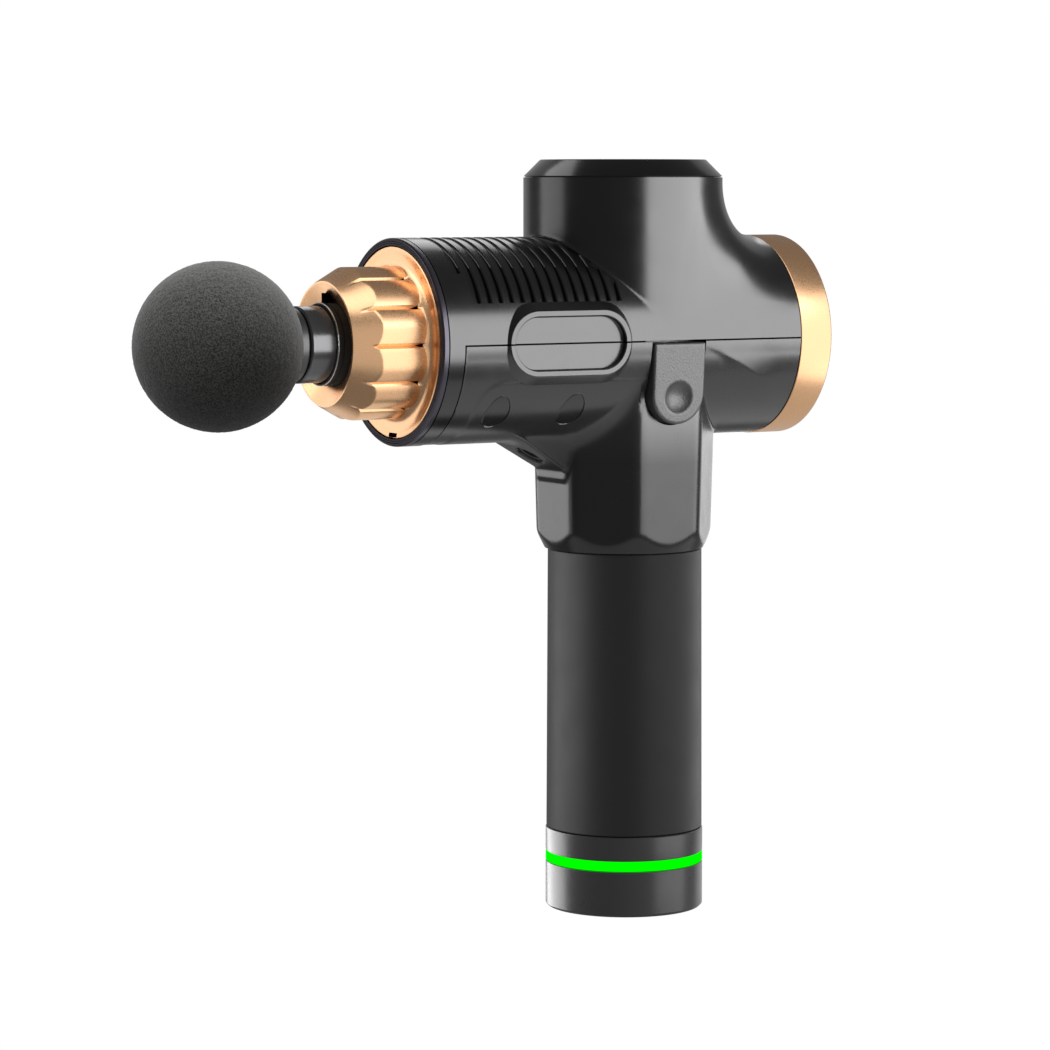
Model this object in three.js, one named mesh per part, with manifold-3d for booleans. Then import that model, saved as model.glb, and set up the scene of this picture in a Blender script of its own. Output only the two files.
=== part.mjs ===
// A massage gun: a barrel with a tower above it and a faceted neck below, a battery grip that
// slides out of the neck, and a piston that a motor in the tower drives through a crank and a
// slotted yoke. The origin is the centre of the grip's base, +Z is up and the head points to -X.
// Every length is in millimetres.
import * as THREE from "three";
import { mergeVertices } from "three/addons/utils/BufferGeometryUtils.js";
import Module from "manifold-3d";

const wasm = await Module();
wasm.setup();

// ---- Driving dimensions ----

const GAP = 0.3; // left between pieces that touch
const HALF_GAP = GAP / 2;
const SLIDE_GAP = 0.2; // round the piston and its guides
const WALL = 2.4;
const FINE = 36; // sides of the large round pieces
const RUNNING = 32; // sides of the piston and of what it slides in
const COARSE = 18; // sides of the small ones

const BARREL_Z = 188;
const BARREL_R = 33;
const FRONT_X = -87.3; // front face of the bezel
const SEAM_STEP_X = -79.6; // the upper shell is a whole ring in front of this
const REAR_X = 47.1; // rear end of the shells
const RING_REAR_X = 59.7; // rear face of the metal ring

const TOWER_X = -1;
const TOWER_R = 32.5;
const TOWER_TOP = 240;
const CAP_TOP = 245.8;
const CAP_TOP_R = 27;
const FLARE_TOP = 236; // where the rear fillet leaves the tower

const NECK_BOTTOM = 119;
const NECK_BOTTOM_R = 26.7;
const NECK_LOW_R = 28.5; // corner radius of the octagon, just above its chamfer
const NECK_HIGH_R = 29.6; // and where it meets the barrel
const NECK_CHAMFER_TOP = 123;
const NECK_JOIN_Z = 165; // the height that NECK_HIGH_R is given at
const GUSSET_HALF_WIDTH = 11.5;

const SLEEVE_BOTTOM = 26.3;
const SLEEVE_TOP = 118.7;
const SLEEVE_TOP_R = 25.3;
const SLEEVE_BOTTOM_R = 25.7;
const END_R = 25.5;
const LIGHT_BOTTOM = 15.2;
const LIGHT_TOP = 18.1;
const BATTERY_R = 24;
const BATTERY_TOP = 150;
const CELL_R = 9.25;
const CELL_LENGTH = 65;

const PISTON_R = 12.1;
const PISTON_FRONT = -122;
const PISTON_REAR = -22.5;
const STEM_BORE_R = 8.6;
const CRANK_R = 6; // half of the stroke
const CRANK_SLACK = 1.6; // slot play each side of the roller
const ROLLER_R = 4.5;
const NOSE_FRONT = -112;
const NOSE_BORE_R = 13.2;
const BALL_R = 26.6;
const BALL_X = -148.3;

const BUTTON_CENTRE_X = -0.35;
const BUTTON_R = 9.8;
const BUTTON_TOP = 187.3;
const BUTTON_BOTTOM = 161;
const BUTTON_FACE_TOP_Y = 34;
const BUTTON_FACE_BOTTOM_Y = 32.2;
const BUTTON_BACK_Y = 27.5;

const PLUG_XS = [-63.5, -36];
const PLUG_Y = 24.1;
const PLUG_R = 4.6;

// ---- Materials ----

function finish(color, roughness, metalness = 0) {
  return new THREE.MeshStandardMaterial({ color, roughness, metalness });
}

const satinBlack = finish(0x1c1c1e, 0.42);
const glossBlack = finish(0x0c0c0d, 0.15);
const gripBlack = finish(0x242425, 0.7);
const goldMetal = finish(0xd9a878, 0.28, 1);
const steel = finish(0xb8babd, 0.3, 1);
const darkSteel = finish(0x55585c, 0.4, 1);
const castMetal = finish(0x9a9da0, 0.5, 1);
const brass = finish(0xc9a24a, 0.35, 1);
const copper = finish(0xb5673a, 0.4, 1);
const rubber = finish(0x151515, 0.9);
const foam = finish(0x303030, 0.95);
const greyPlastic = finish(0x8c8c8c, 0.6);
const lightGreen = finish(0x00ff28, 0.4);
const boardGreen = finish(0x1d5c34, 0.5);
const cellBlue = finish(0x2c5f9e, 0.4);
const whitePlastic = finish(0xe6e4de, 0.5);
const displayGlass = finish(0x050506, 0.05);

// ---- Solids ----

// Closed geometry as a solid that faces outwards.
function solid(geometry) {
  geometry.deleteAttribute("normal");
  geometry.deleteAttribute("uv");
  const merged = mergeVertices(geometry, 1e-4);
  const vertProperties = merged.attributes.position.array;
  const triVerts = new Uint32Array(merged.index.array);
  const made = new wasm.Manifold(new wasm.Mesh({ numProp: 3, vertProperties, triVerts }));
  if (made.volume() > 0) return made;
  triVerts.reverse();
  return new wasm.Manifold(new wasm.Mesh({ numProp: 3, vertProperties, triVerts }));
}

// Turns geometry whose axis is Y so that it runs along the named axis.
function along(geometry, axis) {
  if (axis === "x") geometry.rotateZ(-Math.PI / 2);
  if (axis === "z") geometry.rotateX(Math.PI / 2);
  return geometry;
}

// A turned piece. Its outline is a list of [radius, station] pairs that closes on itself or
// starts and ends on the axis.
function turned(outline, axis, sides = COARSE) {
  const points = outline.map(([radius, station]) => new THREE.Vector2(radius, station));
  return solid(along(new THREE.LatheGeometry(points, sides), axis));
}

function rod(radius, from, to, axis, sides = COARSE) {
  return turned([[0, from], [radius, from], [radius, to], [0, to]], axis, sides);
}

function ring(outer, inner, from, to, axis, sides = COARSE) {
  const outline = [[inner, from], [outer, from], [outer, to], [inner, to], [inner, from]];
  return turned(outline, axis, sides);
}

function block([x0, x1], [y0, y1], [z0, z1]) {
  const box = new THREE.BoxGeometry(x1 - x0, y1 - y0, z1 - z0);
  return solid(box.translate((x0 + x1) / 2, (y0 + y1) / 2, (z0 + z1) / 2));
}

function around(centre, half) {
  return [centre - half, centre + half];
}

function outlineShape(points) {
  return new THREE.Shape(points.map(([a, b]) => new THREE.Vector2(a, b)));
}

function extrudedAlongZ(shape, from, to) {
  const geometry = new THREE.ExtrudeGeometry(shape, {
    depth: to - from,
    bevelEnabled: false,
    curveSegments: 8,
  });
  return solid(geometry.translate(0, 0, from));
}

// The outline lies in the XZ plane.
function extrudedAlongY(shape, from, to) {
  return extrudedAlongZ(shape, -to, -from).rotate([90, 0, 0]);
}

// The outline's first coordinate is Y and its second is Z.
function extrudedAlongX(shape, from, to) {
  return extrudedAlongZ(shape, from, to).rotate([90, 0, 90]);
}

function joined(...solids) {
  return solids.reduce((sum, next) => sum.add(next));
}

function cut(body, ...tools) {
  return tools.reduce((rest, tool) => rest.subtract(tool), body);
}

// A named mesh. The solid is drawn about its group's origin.
function piece(name, shape, material) {
  const made = shape.getMesh();
  const positions = new Float32Array(made.numVert * 3);
  for (let i = 0; i < made.numVert; i += 1) {
    const start = i * made.numProp;
    positions.set(made.vertProperties.subarray(start, start + 3), i * 3);
  }
  const geometry = new THREE.BufferGeometry();
  geometry.setAttribute("position", new THREE.BufferAttribute(positions, 3));
  geometry.setIndex(new THREE.BufferAttribute(made.triVerts, 1));
  geometry.computeVertexNormals();
  const mesh = new THREE.Mesh(geometry, material);
  mesh.name = name;
  return mesh;
}

function groupAt(x, y, z, ...meshes) {
  const group = new THREE.Group();
  group.position.set(x, y, z);
  group.add(...meshes);
  return group;
}

// ---- Casing ----

// The concave fillet between the back of the tower and the top of the barrel, as a closed
// height field. At each Y it runs from the tower's wall to the rear end of the shells.
function rearFlare() {
  const floor = BARREL_Z + 4;
  const across = 10;
  const lengthwise = 7;
  const reach = TOWER_R - 3;
  const rows = [];
  for (let i = 0; i <= across; i += 1) {
    const y = -reach + (2 * reach * i) / across;
    const wallX = TOWER_X + Math.sqrt(TOWER_R ** 2 - y ** 2) - 2;
    const barrelTop = BARREL_Z + Math.sqrt(BARREL_R ** 2 - y ** 2) - 0.4;
    const run = REAR_X - wallX;
    const rise = FLARE_TOP - barrelTop;
    const row = [];
    for (let j = 0; j <= lengthwise; j += 1) {
      const angle = (Math.PI / 2) * (j / lengthwise);
      row.push([wallX + run * (1 - Math.cos(angle)), y, barrelTop + rise * (1 - Math.sin(angle))]);
    }
    rows.push(row);
  }
  const positions = [];
  const quad = (a, b, c, d) => positions.push(...a, ...b, ...c, ...a, ...c, ...d);
  const down = ([x, y]) => [x, y, floor];
  for (let i = 0; i < across; i += 1) {
    for (let j = 0; j < lengthwise; j += 1) {
      const [a, b, c, d] = [rows[i][j], rows[i][j + 1], rows[i + 1][j + 1], rows[i + 1][j]];
      quad(a, b, c, d);
      quad(down(d), down(c), down(b), down(a));
    }
    const [first, next] = [rows[i], rows[i + 1]];
    quad(next[0], down(next[0]), down(first[0]), first[0]);
    quad(first[lengthwise], down(first[lengthwise]), down(next[lengthwise]), next[lengthwise]);
  }
  for (let j = 0; j < lengthwise; j += 1) {
    const [left, right] = [rows[0], rows[across]];
    quad(left[j], down(left[j]), down(left[j + 1]), left[j + 1]);
    quad(right[j + 1], down(right[j + 1]), down(right[j]), right[j]);
  }
  const geometry = new THREE.BufferGeometry();
  geometry.setAttribute("position", new THREE.Float32BufferAttribute(positions, 3));
  return solid(geometry);
}

function octagonalNeck() {
  const height = BARREL_Z - NECK_BOTTOM;
  const slope = (NECK_HIGH_R - NECK_LOW_R) / (NECK_JOIN_Z - NECK_CHAMFER_TOP);
  const lowR = NECK_LOW_R - slope * (NECK_CHAMFER_TOP - NECK_BOTTOM);
  const highR = lowR + slope * height;
  const geometry = new THREE.CylinderGeometry(highR, lowR, height, 8, 1, false, Math.PI / 8);
  const prism = solid(along(geometry, "z").translate(0, 0, NECK_BOTTOM + height / 2));
  const coneHeight = 20; // the chamfer's cone, carried on past the corners that it cuts
  const chamferSlope = (NECK_LOW_R - NECK_BOTTOM_R) / (NECK_CHAMFER_TOP - NECK_BOTTOM);
  const coneTopR = NECK_BOTTOM_R + coneHeight * chamferSlope;
  const outline = [
    [0, NECK_BOTTOM],
    [NECK_BOTTOM_R, NECK_BOTTOM],
    [coneTopR, NECK_BOTTOM + coneHeight],
    [coneTopR, BARREL_Z],
    [0, BARREL_Z],
  ];
  return prism.intersect(turned(outline, "z", FINE));
}

// The wedge under the barrel that holds the charging socket.
const GUSSET = {
  top: [-44.5, 155.2],
  corner: [-29.5, 145.3],
  ledge: 142.4,
  rear: -20,
  roof: 162,
};

function gusset() {
  const outline = [
    [GUSSET.top[0] - 2.5, GUSSET.roof],
    GUSSET.top,
    GUSSET.corner,
    [GUSSET.corner[0], GUSSET.ledge],
    [GUSSET.rear, GUSSET.ledge],
    [GUSSET.rear, GUSSET.roof],
  ];
  return extrudedAlongY(outlineShape(outline), -GUSSET_HALF_WIDTH, GUSSET_HALF_WIDTH);
}

// The raised stadium on each side of the barrel, drafted towards its rim.
function sideBoss(side) {
  const rim = { halfLength: 22.35, halfHeight: 10.4, y: 33.9 };
  const foot = { halfLength: 25, halfHeight: 13, y: 31 };
  const root = { ...foot, y: 24 };
  const centreX = -41.35;
  const ends = 7; // points round each end
  const loop = ({ halfLength, halfHeight, y }) => {
    const points = [];
    for (let i = 0; i < 2 * ends; i += 1) {
      const right = i < ends ? 1 : -1;
      const angle = -Math.PI / 2 + (Math.PI * (i % ends)) / (ends - 1) + (right < 0 ? Math.PI : 0);
      const x = centreX + right * (halfLength - halfHeight) + halfHeight * Math.cos(angle);
      points.push([x, side * y, BARREL_Z + halfHeight * Math.sin(angle)]);
    }
    return points;
  };
  const [inner, outer] = [loop(root), loop(foot)];
  const face = loop(rim);
  const positions = [];
  const band = (a, b) => {
    for (let i = 0; i < a.length; i += 1) {
      const k = (i + 1) % a.length;
      positions.push(...a[i], ...a[k], ...b[k], ...a[i], ...b[k], ...b[i]);
    }
  };
  const fan = (a, turn) => {
    for (let i = 1; i < a.length - 1; i += 1) {
      const [p, q] = turn ? [a[i + 1], a[i]] : [a[i], a[i + 1]];
      positions.push(...a[0], ...p, ...q);
    }
  };
  band(inner, outer);
  band(outer, face);
  fan(face, false);
  fan(inner, true);
  const geometry = new THREE.BufferGeometry();
  geometry.setAttribute("position", new THREE.Float32BufferAttribute(positions, 3));
  return solid(geometry);
}

function casingOuter() {
  return joined(
    barrelRod(BARREL_R, FRONT_X + 2.4, REAR_X),
    rod(TOWER_R, BARREL_Z, TOWER_TOP, "z", FINE).translate(TOWER_X, 0, 0),
    rearFlare(),
    octagonalNeck(),
    gusset(),
    sideBoss(1),
    sideBoss(-1),
  );
}

function casingInner() {
  return joined(
    barrelRod(BARREL_R - WALL, FRONT_X - 1, REAR_X + 1),
    rod(TOWER_R - WALL, BARREL_Z, TOWER_TOP + 1, "z", FINE).translate(TOWER_X, 0, 0),
    rod(BATTERY_R + 0.4, NECK_BOTTOM - 1, BARREL_Z, "z", FINE),
  );
}

const socketTilt = Math.atan2(GUSSET.top[1] - GUSSET.corner[1], GUSSET.corner[0] - GUSSET.top[0]);
const SOCKET_X = (GUSSET.top[0] + GUSSET.corner[0]) / 2;
const SOCKET_Z = (GUSSET.top[1] + GUSSET.corner[1]) / 2;
const SOCKET_R = 4.4;

// Moves a solid whose axis is Z, with its mouth at Z 0 facing down, to the gusset's slope.
function atSocket(shape) {
  const turn = THREE.MathUtils.radToDeg(socketTilt);
  return shape.rotate([0, turn, 0]).translate(SOCKET_X, 0, SOCKET_Z);
}

// The window that one release button fills. Its side is 1 or -1 for +Y or -Y.
function buttonOutline(margin) {
  const radius = BUTTON_R + margin;
  const centreZ = BUTTON_BOTTOM + BUTTON_R;
  const shape = new THREE.Shape();
  shape.moveTo(BUTTON_CENTRE_X - radius, BUTTON_TOP + margin);
  shape.lineTo(BUTTON_CENTRE_X - radius, centreZ);
  shape.absarc(BUTTON_CENTRE_X, centreZ, radius, Math.PI, 2 * Math.PI, false);
  shape.lineTo(BUTTON_CENTRE_X + radius, BUTTON_TOP + margin);
  return shape;
}

function buttonWindow(side) {
  const clearance = 0.45;
  const shape = buttonOutline(clearance);
  const [near, far] = [23, 40];
  return side > 0 ? extrudedAlongY(shape, near, far) : extrudedAlongY(shape, -far, -near);
}

// The ledge behind a button that its spring pushes on.
const SPRING_SEAT_Y = 20.8;
const SPRING_Z = BUTTON_BOTTOM + BUTTON_R;

function springSeat(side) {
  const z = [SPRING_Z - 3.6, SPRING_Z + 4.6];
  const [front, rear] = [-14.4, 13.7];
  const post = 3;
  const back = SPRING_SEAT_Y - 1.6;
  const postEnd = 26.6;
  const spans = (a, b) => (side > 0 ? [a, b] : [-b, -a]);
  return joined(
    block([front, rear], spans(back, SPRING_SEAT_Y - GAP), z),
    block([front, front + post], spans(back, postEnd), z),
    block([rear - post, rear], spans(back, postEnd), z),
  );
}

// Every shell screw stands upright. It is given as the point where it crosses the seam.
const SCREWS = PLUG_XS.flatMap((x) => [[x, -PLUG_Y], [x, PLUG_Y]]);
const SCREW_HEAD_Z = 171.5;
const SCREW_HEAD_R = 2.9;
const SCREW_R = 1.5;
const SCREW_TOP = 198;
const PLUG_SEAT_Z = 168.6;

function barrelRod(radius, from, to) {
  return rod(radius, from, to, "x", FINE).translate(0, 0, BARREL_Z);
}

function atScrews(radius, from, to, sides) {
  return SCREWS.map(([x, y]) => rod(radius, from, to, "z", sides).translate(x, y, 0));
}

function upperShell() {
  const seamZ = BARREL_Z + HALF_GAP;
  const above = block([-200, 200], [-100, 100], [seamZ, 300]);
  const frontRing = block([-200, SEAM_STEP_X], [-100, 100], [100, 300]);
  const inBarrel = barrelRod(BARREL_R - 1, FRONT_X + 3, REAR_X);
  const bosses = atScrews(4, seamZ, SCREW_TOP + 8, 16).map((boss) => boss.intersect(inBarrel));
  const holes = atScrews(SCREW_R + GAP, BARREL_Z - 1, SCREW_TOP + 0.4, 12);
  const skin = cut(casingOuter(), casingInner()).intersect(joined(above, frontRing));
  return cut(joined(skin, ...bosses), ...holes);
}

function lowerShell() {
  const seamZ = BARREL_Z - HALF_GAP;
  const below = block([SEAM_STEP_X + GAP, 200], [-100, 100], [100, seamZ]);
  const inBarrel = barrelRod(BARREL_R - 1, SEAM_STEP_X + GAP, REAR_X);
  const bosses = atScrews(6, 150, seamZ, 16).map((boss) => boss.intersect(inBarrel));
  const skin = cut(casingOuter(), casingInner());
  const body = joined(skin, ...bosses, springSeat(1), springSeat(-1)).intersect(below);
  return cut(
    body,
    ...atScrews(PLUG_R, 140, PLUG_SEAT_Z, 20),
    ...atScrews(SCREW_HEAD_R + 0.4, PLUG_SEAT_Z - 3, SCREW_HEAD_Z + GAP, 16),
    ...atScrews(SCREW_R + GAP, PLUG_SEAT_Z - 3, BARREL_Z + 1, 12),
    atSocket(rod(SOCKET_R + GAP, -4, 13, "z", 20)),
    buttonWindow(1),
    buttonWindow(-1),
  );
}

function topCap() {
  const spigotR = TOWER_R - WALL - GAP;
  const spigotDepth = 2.4;
  const base = TOWER_TOP + GAP;
  const outline = [
    [0, base - spigotDepth],
    [spigotR, base - spigotDepth],
    [spigotR, base],
    [TOWER_R, base],
    [CAP_TOP_R, CAP_TOP],
    [0, CAP_TOP],
  ];
  return turned(outline, "z", FINE);
}

// ---- Front and rear of the barrel, drawn about the barrel's axis ----

function nose() {
  const flangeR = 30.3;
  const bodyR = 24;
  const grooveR = 22.9;
  const segments = 12;
  const perSegment = 4;
  const coneStart = -104;
  const coneEndR = 19.7;
  const innerR = 15.2;
  const points = [];
  for (let i = 0; i < segments * perSegment; i += 1) {
    const radius = i % perSegment === 0 ? grooveR : bodyR;
    const angle = (2 * Math.PI * i) / (segments * perSegment);
    points.push([radius * Math.cos(angle), radius * Math.sin(angle)]);
  }
  const fluted = extrudedAlongX(outlineShape(points), coneStart, FRONT_X + 1);
  const coneOutline = [[0, NOSE_FRONT], [coneEndR, NOSE_FRONT], [bodyR, coneStart], [0, coneStart]];
  const cone = turned(coneOutline, "x", FINE).translate(0.01, 0, 0);
  const flange = rod(flangeR, FRONT_X, FRONT_X + 3, "x", FINE);
  const mouth = rod(NOSE_BORE_R, NOSE_FRONT - 1, FRONT_X + 5, "x", RUNNING);
  const bore = rod(innerR, NOSE_FRONT + 2.5, FRONT_X + 5, "x", RUNNING);
  return cut(joined(fluted, cone, flange), mouth, bore);
}

function rearRing() {
  const lensSeat = { radius: 28.8, x: 56.2 };
  const web = { radius: 26, x: 53.5 };
  const wallR = 30;
  const outline = [
    [wallR, REAR_X + GAP],
    [BARREL_R, REAR_X + GAP],
    [BARREL_R, RING_REAR_X],
    [lensSeat.radius, RING_REAR_X],
    [lensSeat.radius, lensSeat.x],
    [web.radius, lensSeat.x],
    [web.radius, web.x],
    [wallR, web.x],
    [wallR, REAR_X + GAP],
  ];
  return turned(outline, "x", FINE);
}

function barrelPieces() {
  const slidingR = PISTON_R + SLIDE_GAP;
  const seatR = 14.9;
  return groupAt(
    0, 0, BARREL_Z,
    piece("front_bezel", ring(BARREL_R, 30.6, FRONT_X, FRONT_X + 2.1, "x", FINE), glossBlack),
    piece("nose_housing", nose(), goldMetal),
    piece("shaft_seal", ring(seatR, slidingR, -109.2, -105.4, "x", RUNNING), rubber),
    piece("front_bushing", ring(seatR, slidingR, -105, -88.5, "x", RUNNING), brass),
    piece("rear_ring", rearRing(), goldMetal),
    piece("display_lens", rod(28.5, 56.5, 58.7, "x", FINE), displayGlass),
    piece("display_board", rod(29.6, 50.6, 52.2, "x", COARSE), boardGreen),
  );
}

// ---- Drive ----

const FRONT_PLATE = [-29.4, -25.4];
const REAR_PLATE = [24, 28];
const PLATE_HALF_WIDTH = 22;
const PLATE_BOTTOM = 172;
const GUIDE_FRONT = FRONT_PLATE[0] - 12; // front end of the sleeve round the guide bushing
const GUIDE_R = 14.1; // outside of the guide bushing
const TAIL_R = 4; // the yoke's rear end
const TAIL_GUIDE_R = 6.1;
const RAIL_Y = [18.6, 22.6];
const RAIL_BOTTOM = 183;
const CAN_BOTTOM = 204.5;
const CAN_TOP = 234;
const CAN_LID_TOP = 236.5;
const CAN_R = 29.5;
const CAN_WALL = 2.2;

const SHAFT_R = 2;
const SHAFT_BOTTOM = 198;
const BELL_BOTTOM = 206;
const BELL_TOP = 229.5;
const BELL_R = 21.2;
const BELL_WALL = 1.5;
const STATOR_SPAN = [211.5, 227.5];
const BEARING_R = 4;
const BEARING_BORE_R = 2.2;
const BEARINGS = { bearing_lower: 210, bearing_upper: 227.5 }; // the lower end of each
const BEARING_LENGTH = 3.5;

function driveFrame() {
  const can = ring(CAN_R, CAN_R - CAN_WALL, CAN_BOTTOM, CAN_LID_TOP, "z", RUNNING);
  const lid = ring(CAN_R, 8, CAN_TOP, CAN_LID_TOP, "z", RUNNING);
  const windowSpan = [CAN_BOTTOM + 6, CAN_TOP - 4];
  const windows = joined(
    block([-40, 40], [-9, 9], windowSpan),
    block([-9, 9], [-40, 40], windowSpan),
  );
  const motorCan = joined(cut(can, windows), lid).translate(TOWER_X, 0, 0);
  const openings = joined(
    rod(GUIDE_R + GAP, GUIDE_FRONT - 1, FRONT_PLATE[1] + 1, "x"),
    rod(TAIL_GUIDE_R + GAP, REAR_PLATE[0] - 1, REAR_PLATE[1] + 1, "x"),
  ).translate(0, 0, BARREL_Z);
  const railX = [FRONT_PLATE[0], REAR_PLATE[1]];
  const railZ = [RAIL_BOTTOM, CAN_BOTTOM + 1];
  const rails = [RAIL_Y, [-RAIL_Y[1], -RAIL_Y[0]]].map((span) => block(railX, span, railZ));
  const plateY = [-PLATE_HALF_WIDTH, PLATE_HALF_WIDTH];
  const plateZ = [PLATE_BOTTOM, CAN_BOTTOM - 1];
  const plates = [FRONT_PLATE, REAR_PLATE].map((span) => block(span, plateY, plateZ));
  const sleeve = rod(17.5, GUIDE_FRONT, FRONT_PLATE[1], "x").translate(0, 0, BARREL_Z);
  return cut(joined(motorCan, ...rails, ...plates, sleeve), openings);
}

function guideBushings() {
  const guide = ring(GUIDE_R, PISTON_R + SLIDE_GAP, GUIDE_FRONT, FRONT_PLATE[1], "x", RUNNING);
  const tailGuide = ring(TAIL_GUIDE_R, TAIL_R + SLIDE_GAP, ...REAR_PLATE, "x", 16);
  return groupAt(
    0, 0, BARREL_Z,
    piece("guide_bushing", guide, brass),
    piece("rear_bushing", tailGuide, brass),
  );
}

// The tube that carries the bearings, and the flange under the can's lid.
function motorMount() {
  const boreR = BEARING_R + GAP;
  const tubeR = 6.3;
  const flangeR = 20;
  const [bottom, top] = [209.5, CAN_TOP - GAP];
  const flangeBottom = top - 2.2;
  const outline = [
    [boreR, bottom],
    [tubeR, bottom],
    [tubeR, flangeBottom],
    [flangeR, flangeBottom],
    [flangeR, top],
    [boreR, top],
    [boreR, bottom],
  ];
  return turned(outline, "z");
}

// A slotted ring of twelve wound teeth. A tooth is half its angle in radians at each radius.
function stator() {
  const teeth = 12;
  const tooth = [
    [0.05, 9.5],
    [0.14, 12],
    [0.14, 15],
    [0.22, 15.6],
    [0.22, 17.3],
  ];
  const corners = [
    ...tooth.map(([half, radius]) => [-half, radius]),
    ...tooth.toReversed(),
  ];
  const points = [];
  for (let i = 0; i < teeth; i += 1) {
    const centre = (2 * Math.PI * i) / teeth;
    for (const [offset, radius] of corners) {
      points.push([radius * Math.cos(centre + offset), radius * Math.sin(centre + offset)]);
    }
  }
  return cut(extrudedAlongZ(outlineShape(points), ...STATOR_SPAN), rod(6.6, 200, 240, "z", 20));
}

function rotorBell() {
  const boreR = SHAFT_R + GAP;
  const hub = { radius: 6, bottom: 203.6 };
  const floor = BELL_BOTTOM + 2;
  const outline = [
    [boreR, hub.bottom],
    [hub.radius, hub.bottom],
    [hub.radius, BELL_BOTTOM],
    [BELL_R, BELL_BOTTOM],
    [BELL_R, BELL_TOP],
    [BELL_R - BELL_WALL, BELL_TOP],
    [BELL_R - BELL_WALL, floor],
    [boreR, floor],
    [boreR, hub.bottom],
  ];
  return turned(outline, "z", RUNNING);
}

// A disc with half of its rim cut back, so that the pin is balanced.
function crankDisc() {
  const [bottom, top] = [SHAFT_BOTTOM, 203.2];
  const rimR = 14;
  const lightR = 10;
  const disc = rod(rimR, bottom, top, "z", 28);
  const halfPlane = block([-20, 20], [0, 20], [bottom - 1, top + 1]);
  const rim = cut(halfPlane, rod(lightR, bottom - 2, top + 2, "z", 28));
  return cut(disc, rim, rod(SHAFT_R + GAP, bottom - 1, top + 1, "z", 12));
}

function rotorPieces() {
  const pin = rod(2, BARREL_Z - 4.6, SHAFT_BOTTOM - GAP, "z", 12);
  const roller = ring(ROLLER_R, 2.2, BARREL_Z - 4, BARREL_Z + 4, "z", 20);
  const magnets = ring(BELL_R - BELL_WALL - GAP, 17.9, 210, 228, "z", RUNNING);
  return groupAt(
    TOWER_X, 0, 0,
    piece("motor_shaft", rod(SHAFT_R, SHAFT_BOTTOM, 232.5, "z", 12), steel),
    piece("rotor_bell", rotorBell(), darkSteel),
    piece("magnet_ring", magnets, steel),
    piece("crank_disc", crankDisc(), steel),
    piece("crank_pin", pin.translate(0, -CRANK_R, 0), steel),
    piece("pin_roller", roller.translate(0, -CRANK_R, 0), brass),
  );
}

function motorPieces() {
  const group = groupAt(
    TOWER_X, 0, 0,
    piece("motor_mount", motorMount(), castMetal),
    piece("stator", stator(), copper),
  );
  for (const [name, bottom] of Object.entries(BEARINGS)) {
    const bearing = ring(BEARING_R, BEARING_BORE_R, bottom, bottom + BEARING_LENGTH, "z", 16);
    group.add(piece(name, bearing, steel));
  }
  return group;
}

const YOKE_SPIGOT_R = 8.7;

// The crosshead: its slot lies across the piston and the crank's roller runs in it.
function yoke() {
  const slotHalfX = ROLLER_R + CRANK_SLACK;
  const slotHalfY = CRANK_R + ROLLER_R + 0.8;
  const wallX = 4.4;
  const wallY = 4;
  const halfHeight = 5.4;
  const spanX = [-slotHalfX - wallX, slotHalfX + wallX];
  const spanY = [-slotHalfY - wallY, slotHalfY + wallY];
  const head = block(spanX, spanY, [-halfHeight, halfHeight]);
  const slot = block([-slotHalfX, slotHalfX], [-slotHalfY, slotHalfY], [-9, 9]);
  const spigotSpan = [PISTON_REAR - TOWER_X - 12, -slotHalfX - 2];
  const spigot = rod(YOKE_SPIGOT_R, ...spigotSpan, "x");
  const tail = rod(TAIL_R, slotHalfX + 2, REAR_PLATE[1] + 9, "x", 16);
  return cut(joined(head, spigot, tail), slot).translate(TOWER_X, 0, 0);
}

function pistonTube() {
  const web = [-92, -88];
  const outline = [
    [0, web[0]],
    [STEM_BORE_R, web[0]],
    [STEM_BORE_R, PISTON_FRONT],
    [PISTON_R, PISTON_FRONT],
    [PISTON_R, PISTON_REAR],
    [YOKE_SPIGOT_R + GAP, PISTON_REAR],
    [YOKE_SPIGOT_R + GAP, web[1]],
    [0, web[1]],
  ];
  return turned(outline, "x", RUNNING);
}

// ---- Attachment ----

const RING_STATIONS = [-113, -101];
const CORE_R = 10;
const CORE_FRONT = BALL_X - 12;
const COLLAR_FRONT = -127;

function attachmentCore() {
  const stem = rod(STEM_BORE_R - GAP, PISTON_FRONT - 2, -94, "x");
  const collar = rod(PISTON_R, COLLAR_FRONT, PISTON_FRONT - GAP, "x");
  const core = rod(CORE_R, CORE_FRONT, COLLAR_FRONT + 1, "x");
  const grooves = RING_STATIONS.map((x) => ring(CORE_R, 7.1, x - 1.2, x + 1.2, "x"));
  return cut(joined(stem, collar, core), ...grooves);
}

function oRing(x) {
  const sides = 6;
  const [centreR, wireR] = [7.95, 0.6];
  const outline = [];
  for (let i = 0; i <= sides; i += 1) {
    const angle = (2 * Math.PI * (i % sides)) / sides;
    outline.push([centreR + wireR * Math.cos(angle), x + 1.4 * wireR * Math.sin(angle)]);
  }
  return turned(outline, "x", 16);
}

function foamBall() {
  const ball = solid(new THREE.SphereGeometry(BALL_R, 26, 16)).translate(BALL_X, 0, 0);
  const coreSocket = rod(CORE_R + GAP, CORE_FRONT - GAP, -100, "x");
  const collarSocket = rod(PISTON_R + GAP, COLLAR_FRONT - GAP, -100, "x");
  return cut(ball, coreSocket, collarSocket);
}

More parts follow.
